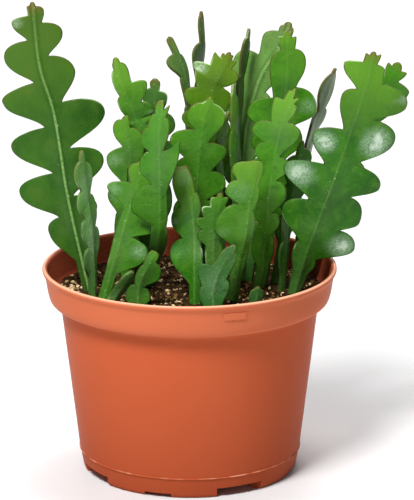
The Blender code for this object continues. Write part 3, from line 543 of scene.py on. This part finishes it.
        spine=(36, 20, 92, 41, 18, 121, 45, 15, 149, 47, 13, 161, 49, 12, 171),
        left=evenLobes(22, 72, 17, 3.4, 7), right=evenLobes(28, 76, 16, 3.4, 8)),
    stem_low_powdery=dict(bend=(6, 10, 1.4, 0.05),
        spine=(3, -28, 92, 3, -28, 103, 7, -26, 114, 14, -24, 125),
        left=(2, 5, 8, 7, 11, 6, 19, 10.5, 21.5, 5, 26, 4, 34, 2),
        right=(2, 5, 12, 8.5, 18, 5.5, 26, 6, 33, 2)),
    sprout_low_left=dict(bend=(-6, 6, 1.4, 0.05),
        spine=(-35, -24, 92, -35, -25, 101, -33, -26, 109, -29, -26, 117, -26, -25, 122),
        left=(1, 3.2, 4.5, 6.4, 12, 2.5, 17, 3.4, 23, 2.4, 28, 2.8, 32, 1.5),
        right=(1, 3.2, 5, 6.6, 11.5, 2.7, 20, 9, 27, 3.2, 29, 3.2, 32, 1.5)),
    sprout_blade=dict(bend=(24, 24, 0.5, 0.02),
        spine=(-50, -18, 92, -44, -20, 101, -38, -22, 111),
        left=(4, 3, 13, 3.8, 21, 2), right=(4, 3, 13, 3.8, 21, 2)),
    sprout_bluish=dict(bend=(10, 10, 0.5, 0.02),
        spine=(24, -22, 92, 25, -23, 97, 26, -24, 103),
        left=(1, 2.6, 6, 4, 10, 1.8), right=(2, 2.6, 6, 4, 10, 1.8)),
    stem_shaded_right=dict(bend=(62, 54, 1.2, 0.05),
        spine=(39, 9, 92, 40, 9, 107, 41, 9, 122, 41, 9, 137),
        left=evenLobes(8, 43, 16, 3.2, 5.5), right=evenLobes(12, 43, 16, 3, 4.5)),
    stem_shaded_middle=dict(bend=(-20, -10, 1.0, 0.05),
        spine=(21, 24, 92, 22, 22, 108, 23, 20, 128),
        left=evenLobes(8, 34, 13, 3.6, 8), right=evenLobes(10, 34, 12, 3.6, 7)))

# three greens, where the fresh one begins, and the strength of rib, ruddy tip and powder
skinSockets = ("Deep", "Bright", "Fresh", "Fresh Start", "Rib", "Ruddy", "Powder")
skins = dict(
    green=((0.030, 0.150, 0.007), (0.060, 0.235, 0.013), (0.080, 0.265, 0.016), 0.80, 0.15, 0.4, 0.0),
    tall=((0.018, 0.088, 0.004), (0.036, 0.128, 0.007), (0.060, 0.145, 0.012), 0.60, 0.85, 0.7, 0.0),
    broad=((0.014, 0.100, 0.0035), (0.028, 0.155, 0.006), (0.10, 0.27, 0.016), 0.66, 0.16, 0.6, 0.0),
    vivid=((0.040, 0.185, 0.009), (0.080, 0.275, 0.017), (0.135, 0.330, 0.025), 0.74, 0.14, 0.15, 0.0),
    lush=((0.034, 0.165, 0.005), (0.060, 0.235, 0.009), (0.115, 0.31, 0.015), 0.80, 0.14, 0.25, 0.0),
    shaded=((0.022, 0.110, 0.008), (0.040, 0.160, 0.014), (0.08, 0.19, 0.02), 0.9, 0.10, 0.5, 0.0),
    olive=((0.055, 0.185, 0.007), (0.090, 0.225, 0.011), (0.125, 0.240, 0.010), 0.72, 0.10, 0.35, 0.0),
    # the next skin is the oldest stem's grey-olive, made lighter as painted light where the stems in front
    # shade it
    oldLit=((0.095, 0.240, 0.034), (0.140, 0.300, 0.055), (0.15, 0.25, 0.06), 0.85, 0.9, 0.5, 0.02),
    grey=((0.040, 0.112, 0.014), (0.070, 0.155, 0.026), (0.11, 0.19, 0.045), 0.85, 0.3, 0.5, 0.0),
    dusty=((0.105, 0.385, 0.035), (0.175, 0.500, 0.065), (0.19, 0.48, 0.08), 0.90, 0.2, 0.2, 0.12),
    powdery=((0.018, 0.115, 0.015), (0.042, 0.185, 0.026), (0.10, 0.27, 0.05), 0.95, 0.2, 0.1, 0.02))

# stems that are in no list are green
wearers = dict(
    tall=["stem_tall_left"],
    broad=["stem_broad_right", "stem_centre_front"],
    vivid=["stem_upper_left", "stem_mid_right", "stem_front_right", "stem_thin_front", "stem_thin_slanted"],
    lush=["stem_front_left", "stem_mid_left", "stem_centre_back", "stem_bright_back"],
    shaded=["stem_shaded_left", "stem_shaded_right", "stem_shaded_middle"],
    olive=["stem_olive_top"],
    oldLit=["stem_grey_back"],
    grey=["stem_thin_left", "stem_thin_centre", "stem_thin_middle", "stem_wavy_right"],
    dusty=["stem_narrow_left", "sprout_blade"],
    powdery=["stem_low_powdery", "sprout_bluish"])
skinOf = {stem: skin for skin, names in wearers.items() for stem in names}

# painted highlight patches: stem, length along the rib, distance from it (left is minus), radius, strength
highlightPatches = dict(
    stem_broad_right=[(92, 15, 11, 0.85), (86, -11, 8, 0.8), (66, -18, 10, 0.7), (32, 17, 9, 0.75),
                      (116, 22, 4, 0.5)],
    stem_front_left=[(29, 11, 6, 0.35), (57, -11, 5, 0.25)],
    stem_mid_left=[(69, -8, 6, 0.30), (49, -7, 5, 0.20)],
    stem_low_powdery=[(14, 0, 12, 0.10)],
    stem_front_right=[(60, -7, 8, 0.18), (38, -12, 5, 0.15)],
    stem_tall_left=[(147, -9, 4, 0.5)],
    stem_olive_top=[(112, -11, 5, 0.85)],
    stem_centre_front=[(67, 0, 8, 0.22), (43, -11, 3, 0.35), (27, -10, 6, 0.06)],
    stem_small_right=[(66, 5, 6, 0.5)],
    stem_bright_back=[(96, 13, 6, 0.3)],
    stem_upper_left=[(89, 9, 3, 0.5)],
    stem_narrow_left=[(30, 0, 18, 0.3), (60, 0, 12, 0.25)])

# lengths in mm; shivers are slow random bends of the blade, waves its regular ones
stemShape = dict(
    rootDepth=11.6, rootHalfWidth=3.2, uprightLength=8.0, spineSteps=12, rowLength=0.5,
    columns=(0.0, 0.05, 0.12, 0.24, 0.42, 0.62, 0.80, 0.92, 0.975, 1.0),
    swellSteps=24, backSteps=16, crownSteps=10, shortestBack=2.0, crownEnd=0.05,
    ribThickness=3.6, bodyThickness=1.5, edgeThickness=1.15, ribWidth=2.2, ribTaper=0.5,
    growth=4, waveRate=0.13, waveOffset=1.6, curlWidth=20.0, shiver=0.7, shiverRates=(0.07, 0.09),
    ribScale=20.0, edgeScale=10.0, highlightCore=0.2)


def skinMaterial(name, spec):
    material, nodes, shader = newMaterial(name)
    skin = nodes.add("ShaderNodeGroup", node_tree=skinEffect)
    nodes.fill(skin, dict(zip(skinSockets, spec)))
    nodes.bump(shader, skin.outputs["Height"], 0.42, 0.0006)
    nodes.fill(shader, {"Base Color": skin.outputs["Color"], "Roughness": skin.outputs["Roughness"],
                        "Specular IOR Level": 0.16})
    return material


def catmull(before, start, end, after, t):
    return 0.5 * (2 * start + (end - before) * t + (2 * before - 5 * start + 4 * end - after) * t * t
                  + (3 * start - before - 3 * end + after) * t ** 3)


class Rib:
    # the smooth line through a stem's middle

    def __init__(self, spine):
        knots = [Vector(knot) for knot in zip(spine[0::3], spine[1::3], spine[2::3])]
        padded = [2 * knots[0] - knots[1]] + knots + [2 * knots[-1] - knots[-2]]
        self.points = []
        steps = stemShape["spineSteps"]
        for a, b, c, d in zip(padded, padded[1:], padded[2:], padded[3:]):
            self.points += [catmull(a, b, c, d, k / steps) for k in range(steps)]
        self.points.append(knots[-1])
        self.stations = [0.0, *accumulate((b - a).length for a, b in zip(self.points, self.points[1:]))]
        self.length = self.stations[-1]
        last = len(self.points) - 1
        self.headings = [(self.points[min(i + 2, last)] - self.points[max(i - 1, 0)]).normalized()
                         for i in range(last + 1)]

    def at(self, station):
        # the point at this station and the way the rib runs there; the root goes straight down
        if station <= 0:
            return self.points[0] + Vector((0, 0, station)), Vector((0, 0, 1))
        station = min(station, self.length)
        i = 0
        while i < len(self.points) - 2 and self.stations[i + 1] <= station:
            i += 1
        share = (station - self.stations[i]) / (self.stations[i + 1] - self.stations[i])
        point = self.points[i].lerp(self.points[i + 1], share)
        heading = self.headings[i].lerp(self.headings[i + 1], share)
        bend = min(1.0, station / stemShape["uprightLength"])
        return point, Vector((0, 0, 1)).lerp(heading, bend).normalized()


def curve(points, steps):
    return [(p.x, p.y) for p in interpolate_bezier(*(Vector((*p, 0)) for p in points), steps + 1)]


def sideLobes(marks, length):
    # each stretch of one margin, as (first station, last station, points); lobes swell out and return square
    root, depth = stemShape["rootHalfWidth"], stemShape["rootDepth"]
    marks = list(zip(marks[0::2], marks[1::2]))
    stretches = [(-depth, 0.0, [(-depth, root), (0.0, root)]), (0.0, marks[0][0], [(0.0, root), marks[0]])]
    for (low, lowReach), (tip, reach), (high, highReach) in zip(marks[0::2], marks[1::2], marks[2::2]):
        rise, run = tip - low, max(stemShape["shortestBack"], high - tip)
        swell = curve([(low, lowReach), (low + 0.3 * rise, lowReach + 0.2 * (reach - lowReach)),
                       (tip - 0.5 * rise, reach), (tip, reach)], stemShape["swellSteps"])
        back = curve([(tip, reach), (tip + 0.7 * run, reach), (high, highReach + 0.45 * (reach - highReach)),
                      (high, highReach)], stemShape["backSteps"])
        stretches.append((low, high, swell + back[1:]))
    end, width = marks[-1]
    crown = curve([(end, width), (end + 0.5 * (length - end), width), (length, 0.6 * width),
                   (length, stemShape["crownEnd"])], stemShape["crownSteps"])
    stretches.append((end, length, crown))
    return stretches


def marginPoint(stretches, station):
    # the margin's point for this station on the rib: the same share of the way round its lobe
    start, end, points = next((s for s in stretches if station <= s[1] + 1e-9), stretches[-1])
    share = min(1.0, max(0.0, (station - start) / max(1e-6, end - start)))
    lengths = [0.0, *accumulate(math.dist(a, b) for a, b in zip(points, points[1:]))]
    goal = share * lengths[-1]
    i = next((k for k, reached in enumerate(lengths[1:-1]) if goal <= reached), len(points) - 2)
    t = (goal - lengths[i]) / max(1e-9, lengths[i + 1] - lengths[i])
    (s1, w1), (s2, w2) = points[i], points[i + 1]
    return s1 + (s2 - s1) * t, w1 + (w2 - w1) * t


def rowStations(stretchLists, length):
    keys = sorted({round(edge, 4) for stretches in stretchLists for start, end, _ in stretches
                   for edge in (start, end) if edge <= length} | {round(length, 4)})
    rows = [keys[0]]
    for a, b in zip(keys, keys[1:]):
        steps = max(1, round((b - a) / stemShape["rowLength"]))
        rows += [a + (b - a) * k / steps for k in range(1, steps + 1)]
    return rows


def halfThickness(reach, room, share):
    # a raised rib, a flat blade, and a rounded margin
    ribHalf = stemShape["ribThickness"] / 2 * (1 - stemShape["ribTaper"] * share)
    blade = stemShape["bodyThickness"] / 2
    half = blade + (ribHalf - blade) * math.exp(-(reach / stemShape["ribWidth"]) ** 2)
    rounding = stemShape["edgeThickness"] / 2
    if room < rounding:
        half *= math.sqrt(max(0.0, 1 - (1 - room / rounding) ** 2))
    return half


def buildStem(name, spec):
    rib = Rib(spec["spine"])
    sides = {1: sideLobes(spec["right"], rib.length), -1: sideLobes(spec["left"], rib.length)}
    rows = rowStations(sides.values(), rib.length)
    shares = stemShape["columns"]
    # once round the section: right front outwards, back inwards, left back outwards, front inwards
    ring = [(1, v, 1) for v in shares] + [(1, v, -1) for v in reversed(shares[:-1])]
    ring += [(-1, v, -1) for v in shares[1:]] + [(-1, v, 1) for v in reversed(shares[:-1])]
    piece = gridPiece(name + "_fine", len(ring) - 1, len(rows) - 1)
    lowTurn, highTurn, curl, wave = spec["bend"]
    phase = sum(ord(c) for c in name)
    patches = highlightPatches.get(name, [])
    alongRate, acrossRate = stemShape["shiverRates"]
    points, looks = [], []
    for s in rows:
        margins = {side: marginPoint(stretches, s) for side, stretches in sides.items()}
        for side, v, face in ring:
            edgeS, edgeW = margins[side]
            station = s + (edgeS - s) * v
            reach = edgeW * v
            w = side * reach
            point, up = rib.at(station)
            beyond = max(0.0, station - rib.length)
            share = min(1.0, max(0.0, station / rib.length))
            turn = math.radians(lowTurn + (highTurn - lowTurn) * share)
            across = Vector((math.cos(turn), math.sin(turn), 0))
            across = (across - up * across.dot(up)).normalized()
            front = across.cross(up)
            begin = min(1.0, share * stemShape["growth"])
            offset = stemShape["waveOffset"] if w > 0 else 0.0
            swing = wave * w * math.sin(stemShape["waveRate"] * station + phase + offset) * begin
            back = curl * (w / stemShape["curlWidth"]) ** 2 * begin
            room = math.hypot(station - edgeS, reach - edgeW)
            thick = halfThickness(reach, room, share)
            shiver = noise.noise(Vector((station * alongRate, w * acrossRate, phase)))
            shiver *= stemShape["shiver"] * begin
            point = point + across * w + up * beyond + front * (swing - back + shiver + face * thick)
            points += [c * mm for c in point]
            # the strength of the painted highlight patches at this point
            highlightPatch = sum(power * (1 - smoothStep(stemShape["highlightCore"], 1.0,
                                                math.hypot(station - ps, w - pw) / radius))
                        for ps, pw, radius, power in patches)
            looks.append((share, reach / stemShape["ribScale"], room / stemShape["edgeScale"], highlightPatch))
    piece.data.vertices.foreach_set("co", points)
    for field, values in zip(skinFields, zip(*looks)):
        floatAttribute(piece.data, field, values)
    mergeDoubles(piece)
    with editing(piece, "DESELECT"):
        pickOpenEdges()
        bpy.ops.mesh.fill()
    outward(piece)
    bpy.ops.object.shade_smooth()
    return piece


skinMaterials = {name: skinMaterial(name + "Skin", spec) for name, spec in skins.items()}
for stemName, stemSpec in stems.items():
    stem = buildStem(stemName, stemSpec)
    coat(stem, skinMaterials[skinOf.get(stemName, "green")])
    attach(stem, "root")
    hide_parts(stemName)
print("stems ready:", len(stems))


# the pot

# profiles are (radius, height), mm
pot = dict(
    sides=128, smoothAngle=32.0, halfWall=0.6,
    under=[(49.5, 5.5), (49.5, 0.4), (49.9, 0.0)],
    outside=[
        (53.6, 0.0), (54.3, 0.15), (55.0, 0.6), (55.5, 1.4), (55.8, 2.4), (57.25, 10.1), (57.35, 10.5),
        (57.8, 10.75), (57.85, 11.0), (57.5, 11.3), (57.6, 12.2), (60.8, 39.0), (63.9, 65.0), (66.6, 88.0),
        (66.8, 89.3), (67.1, 89.8), (67.7, 89.95), (70.2, 90.1), (71.3, 90.5), (72.0, 91.2), (72.5, 92.3),
        (73.2, 95.0), (73.9, 99.5), (74.4, 102.6), (74.7, 103.8), (75.1, 104.6), (75.5, 105.2),
        (75.85, 105.9), (76.0, 106.6), (75.85, 107.2), (75.4, 107.58), (74.8, 107.7)],
    inside=[
        (74.2, 107.65), (73.7, 107.35), (73.35, 106.8), (73.1, 105.8), (72.0, 95.0), (71.5, 92.9),
        (70.4, 91.1), (65.6, 90.8), (56.0, 10.7), (54.6, 8.6), (53.2, 7.7)],
    gaps=[dict(angle=28.0, height=5.0, outer=20.0, inner=11.0),
          dict(angle=-17.0, height=2.3, outer=13.5, inner=12.5)],
    gapInner=49.5, gapOuter=54.2, gapPairs=4, cutterBeyond=8.0,
    drainRadius=5.0, drainCircle=38.0, drainSides=28, drainCutterDepth=6, drainCutterHeight=6.6,
    tab=dict(angle=18.0, width=11.6, height=3.6, low=99.6, radius=73.9, proud=0.55, sunk=-0.9, lean=0.14,
             cuts=5, rounding=0.25, smoothAngle=40.0))


def wallPoint(angle, radius, across=0.0):
    turn = math.radians(angle)
    return (potX + math.sin(turn) * radius + math.cos(turn) * across,
            -math.cos(turn) * radius + math.sin(turn) * across)


def turnedPiece(name, profile, sides):
    # a ring of edges extruded and scaled from point to point of the profile
    deselectAll()
    radius, height = profile[0]
    bpy.ops.mesh.primitive_circle_add(vertices=sides, radius=radius * mm, fill_type="NGON",
                                      location=(potX * mm, 0, height * mm))
    piece = named(name)
    bpy.ops.object.transform_apply()
    with editing(piece):
        bpy.ops.mesh.select_mode(type="EDGE")
        bpy.ops.mesh.delete(type="ONLY_FACE")
        bpy.ops.mesh.select_all(action="SELECT")
        bpy.ops.mesh.edge_face_add()
        extrudeRings(profile[1:], radius, height)
    return piece


def wedgeCutter(spec, angle):
    slope = (spec["outer"] - spec["inner"]) / (pot["gapOuter"] - pot["gapInner"])
    beyond = pot["cutterBeyond"]
    inner = (spec["inner"] / 2, pot["gapInner"] - beyond)
    outer = ((spec["outer"] + slope * beyond) / 2, pot["gapOuter"] + beyond)
    deselectAll()
    bpy.ops.mesh.primitive_cube_add(size=1)
    cutter = bpy.context.active_object
    for corner in cutter.data.vertices:
        half, radius = outer if corner.co.y > 0 else inner
        x, y = wallPoint(angle, radius, half if corner.co.x > 0 else -half)
        corner.co = Vector((x, y, spec["height"] if corner.co.z > 0 else -beyond)) * mm
    outward(cutter)
    return cutter


def drainCutter(angle):
    x, y = wallPoint(angle, pot["drainCircle"])
    bpy.ops.mesh.primitive_cylinder_add(
        vertices=pot["drainSides"], radius=pot["drainRadius"] * mm, depth=pot["drainCutterDepth"] * mm,
        location=(x * mm, y * mm, pot["drainCutterHeight"] * mm))
    cutter = bpy.context.active_object
    bpy.ops.object.transform_apply()
    return cutter


def cutOut(piece, cutters):
    deselectAll()
    for cutter in cutters:
        cutter.select_set(True)
    bpy.context.view_layer.objects.active = cutters[0]
    bpy.ops.object.join()
    joined = bpy.context.active_object
    change = piece.modifiers.new("cut", "BOOLEAN")
    change.operation = "DIFFERENCE"
    change.solver = "EXACT"
    change.use_self = True
    change.object = joined
    applyAll(piece)
    bpy.data.objects.remove(joined)


def innerRadiusAt(z):
    # halfway through the wall at this height
    wall = sorted((height, radius) for radius, height in pot["inside"])
    for (z1, r1), (z2, r2) in zip(wall, wall[1:]):
        if z1 <= z <= z2:
            return r1 + (r2 - r1) * (z - z1) / max(0.01, z2 - z1) + pot["halfWall"]
    return 0.0


def buildPot():
    piece = turnedPiece("pot_fine", pot["under"] + pot["outside"] + pot["inside"], pot["sides"])
    outward(piece)
    turns = [360.0 / pot["gapPairs"] * k for k in range(pot["gapPairs"])]
    cutters = [wedgeCutter(spec, spec["angle"] + turn) for spec in pot["gaps"] for turn in turns]
    cutters += [drainCutter(pot["gaps"][0]["angle"] + turn) for turn in turns]
    cutOut(piece, cutters)
    inner = [1.0 if math.hypot(v.co.x / mm - potX, v.co.y / mm) < innerRadiusAt(v.co.z / mm) else 0.0
             for v in piece.data.vertices]
    floatAttribute(piece.data, "inner", inner)
    only(piece)
    bpy.ops.object.shade_smooth_by_angle(angle=math.radians(pot["smoothAngle"]))
    return piece


def buildTab():
    spec = pot["tab"]
    deselectAll()
    bpy.ops.mesh.primitive_cube_add(size=1)
    tab = named("potTab")
    with editing(tab):
        bpy.ops.mesh.subdivide(number_cuts=spec["cuts"])
    for corner in tab.data.vertices:
        turn = spec["angle"] + math.degrees(corner.co.x * spec["width"] / spec["radius"])
        lean = (corner.co.z + 0.5) * spec["height"] * spec["lean"]
        radius = spec["radius"] + lean + (spec["proud"] if corner.co.y > 0.4 else spec["sunk"])
        x, y = wallPoint(turn, radius)
        corner.co = Vector((x, y, spec["low"] + (corner.co.z + 0.5) * spec["height"])) * mm
    outward(tab)
    soften = tab.modifiers.new("edges", "BEVEL")
    soften.width = spec["rounding"] * mm
    soften.segments = 2
    soften.limit_method = "ANGLE"
    applyAll(tab)
    bpy.ops.object.shade_smooth_by_angle(angle=math.radians(spec["smoothAngle"]))
    return tab


# the plastic's tints; some are painted light: a painted shade low on the pot and inside it, a painted sheen
# on the band, a painted highlight on the rim's top and the mould line
plasticTint = dict(
    base=(0.49, 0.094, 0.035), worn=(0.59, 0.150, 0.062), dusty=(0.31, 0.056, 0.020),
    band=(0.70, 0.22, 0.11), edge=(0.80, 0.42, 0.27), inside=(0.22, 0.036, 0.016), lime=(0.62, 0.42, 0.33))


def plasticMaterial():
    material, nodes, shader = newMaterial("terracottaPlastic")
    grain = nodes.add("ShaderNodeGroup", node_tree=grainEffect)
    nodes.fill(grain, dict(Base=plasticTint["base"], Worn=plasticTint["worn"], Scuffs=0.22))
    place = nodes.place()
    height = nodes.add("ShaderNodeSeparateXYZ")
    nodes.put(height.inputs[0], place)
    z = height.outputs["Z"]
    # the mould line, broken here and there: a painted highlight along the thin ridge
    away = nodes.math("ABSOLUTE", nodes.math("SUBTRACT", z, 0.0111))
    mouldLineHighlight = nodes.times(nodes.spread(away, 0.00012, 0.00042, 1.0, 0.0),
                       nodes.spread(nodes.noise(place, 110.0, 2.0), 0.45, 0.64, 0.0, 0.5))
    # lime streaks on the inside, and painted shade that darkens the inside
    inner = nodes.value("inner")
    lime = nodes.ramp(nodes.noise(place, 160.0, 5.0, 0.8, 2.5), [(0.60, 0.0), (0.70, 1.0)])
    colour = nodes.layers(
        grain.outputs["Color"],
        # painted shade: darker towards the bottom of the pot
        (nodes.spread(z, 0.0, 0.080, 0.6, 0.0), plasticTint["dusty"]),
        # painted sheen: the band above the ledge is paler
        (nodes.spread(z, 0.087, 0.090, 0.0, 0.35), plasticTint["band"]),
        # painted highlight along the rim's top edge
        (nodes.spread(z, 0.1067, 0.1075, 0.0, 0.75), plasticTint["edge"]),
        (mouldLineHighlight, plasticTint["edge"]),
        (nodes.times(inner, 0.8), plasticTint["inside"]),
        (nodes.times(nodes.times(lime, inner), 0.6), plasticTint["lime"]))
    nodes.fill(shader, {"Base Color": colour, "Roughness": grain.outputs["Roughness"],
                        "Specular IOR Level": 0.02})
    nodes.bump(shader, grain.outputs["Height"], 0.12, 0.0003)
    return material


plastic = plasticMaterial()
potPiece = buildPot()
tabPiece = buildTab()
for shell in (potPiece, tabPiece):
    coat(shell, plastic)
    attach(shell, "root")
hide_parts("pot")
print("pot ready")


# the soil

# lumps are (height, rate), clusters of pale crumbs (x, y, width, strength), tones (limit of roll, low, high)
soil = dict(
    radius=70.9, top=92.0, spokes=168, rings=54, bottom=[(65.0, 90.3), (55.4, 11.1), (53.0, 8.0)],
    relief=1.5, reliefRate=0.11, lumps=[(0.7, 0.55), (0.4, 1.3)], edgeRise=1.0, edgeStart=0.85,
    seed=11, crumbs=3900, crumbSize=(0.4, 1.2), twigs=150, twigSize=(0.35, 0.6), crumbStretch=1.3,
    twigStretch=9.0, wallRoom=1.5, stemRoom=5.5, smallShare=0.6, small=0.6, tip=0.4, clusterWeight=0.4,
    clusters=[(-68, -2, 22, 1.5), (-23, 50, 9, 0.9), (-21, 13, 15, 0.3), (30, -30, 12, 0.3)],
    tones=[(0.71, 0.0, 0.1), (0.90, 0.3, 0.6), (9.0, 0.75, 1.0)])


def soilHeight(x, y):
    place = Vector((x, y, 3.0))
    height = soil["top"] + soil["relief"] * noise.fractal(place * soil["reliefRate"], 0.9, 2.0, 4)
    height += sum(size * noise.noise(place * rate) for size, rate in soil["lumps"])
    edge = math.hypot(x - potX, y) / soil["radius"]
    return height + soil["edgeRise"] * smoothStep(soil["edgeStart"], 1.0, edge)


def buildSoil():
    piece = gridPiece("soil_fine", soil["spokes"], soil["rings"])
    points = []
    for i in range(len(piece.data.vertices)):
        row, column = divmod(i, soil["spokes"] + 1)
        radius = soil["radius"] * (1 - row / soil["rings"])
        turn = 2 * math.pi * (column % soil["spokes"]) / soil["spokes"]
        x, y = potX + radius * math.cos(turn), radius * math.sin(turn)
        points += [x * mm, y * mm, soilHeight(x, y) * mm]
    piece.data.vertices.foreach_set("co", points)
    mergeDoubles(piece)
    with editing(piece, "DESELECT"):
        pickOpenEdges()
        extrudeRings(soil["bottom"], soil["radius"], soil["top"] + soil["edgeRise"])
        bpy.ops.mesh.edge_face_add()
    outward(piece)
    bpy.ops.object.shade_smooth()
    return piece


def paleness(x, y):
    return sum(k * math.exp(-((x - cx) ** 2 + (y - cy) ** 2) / w ** 2) for cx, cy, w, k in soil["clusters"])


def scattered(name, count, size, stretch, starter):
    # copies of one small lump, each with its own points, laid over the soil
    starter()
    lump = bpy.context.active_object
    base = [v.co.copy() for v in lump.data.vertices]
    faces = [tuple(p.vertices) for p in lump.data.polygons]
    bpy.data.objects.remove(lump)
    points, allFaces, tones = [], [], []
    for _ in range(count):
        away = math.sqrt(rng.random()) * (soil["radius"] - soil["wallRoom"])
        turn = rng.uniform(0, 2 * math.pi)
        x, y = potX + away * math.cos(turn), away * math.sin(turn)
        if any(math.hypot(x - spec["spine"][0], y - spec["spine"][1]) < soil["stemRoom"]
               for spec in stems.values()):
            continue
        scale = rng.uniform(*size) * (soil["small"] if rng.random() < soil["smallShare"] else 1.0)
        spin, tip = rng.uniform(0, math.pi), rng.uniform(-soil["tip"], soil["tip"])
        roll = rng.random() + soil["clusterWeight"] * paleness(x, y)
        darkest, palest = next(tone[1:] for tone in soil["tones"] if roll < tone[0])
        tones += [rng.uniform(darkest, palest)] * len(base)
        allFaces += [tuple(len(points) + k for k in face) for face in faces]
        middle = Vector((x, y, soilHeight(x, y) + scale * 0.25))
        for p in base:
            q = Vector((p.x * stretch * rng.uniform(0.8, 1.2), p.y * rng.uniform(0.8, 1.2),
                        p.z * rng.uniform(0.6, 1.1)))
            q = Vector((q.x * math.cos(spin) - q.y * math.sin(spin),
                        q.x * math.sin(spin) + q.y * math.cos(spin), q.z + q.x * tip)) * scale
            points.append((middle + q) * mm)
    mesh = bpy.data.meshes.new(name)
    mesh.from_pydata(points, [], allFaces)
    floatAttribute(mesh, "tone", tones)
    piece = bpy.data.objects.new(name, mesh)
    bpy.context.collection.objects.link(piece)
    outward(piece)
    return piece


peatShades = dict(
    clods=[(0.3, (0.010, 0.005, 0.002)), (0.5, (0.030, 0.014, 0.005)), (0.64, (0.090, 0.045, 0.014)),
           (0.78, (0.30, 0.17, 0.055))],
    bits=[(0.0, (0.018, 0.009, 0.004)), (0.25, (0.060, 0.030, 0.010)), (0.5, (0.32, 0.19, 0.06)),
          (0.9, (0.80, 0.60, 0.34))],
    pitShade=(0.008, 0.005, 0.003))


def peatMaterial():
    material, nodes, shader = newMaterial("peatMix")
    place = nodes.place()
    clods = nodes.noise(place, 260.0, 5.0, 0.7)
    cells = nodes.cells(place, 420.0)
    tone = nodes.value("tone")
    colour = nodes.layers(
        nodes.ramp(clods, peatShades["clods"]),
        (nodes.spread(tone, 0.005, 0.1, 0.0, 0.9), nodes.ramp(tone, peatShades["bits"])),
        # painted shade in the pits of the bump
        (nodes.spread(cells, 0.0, 0.6, 0.35, 0.0), peatShades["pitShade"]))
    nodes.fill(shader, {"Base Color": colour, "Roughness": 0.92, "Specular IOR Level": 0.05})
    nodes.bump(shader, nodes.plus(clods, cells), 0.8, 0.0008)
    return material


peat = peatMaterial()
rng = random.Random(soil["seed"])
soilPiece = buildSoil()
crumbPiece = scattered("soilCrumbs", soil["crumbs"], soil["crumbSize"], soil["crumbStretch"],
                       lambda: bpy.ops.mesh.primitive_ico_sphere_add(subdivisions=1, radius=1.0))
twigPiece = scattered("soilTwigs", soil["twigs"], soil["twigSize"], soil["twigStretch"],
                      lambda: bpy.ops.mesh.primitive_cylinder_add(vertices=5, radius=0.6, depth=1.2))
for ground in (soilPiece, crumbPiece, twigPiece):
    coat(ground, peat)
    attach(ground, "root")
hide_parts("soil")
print("soil ready")
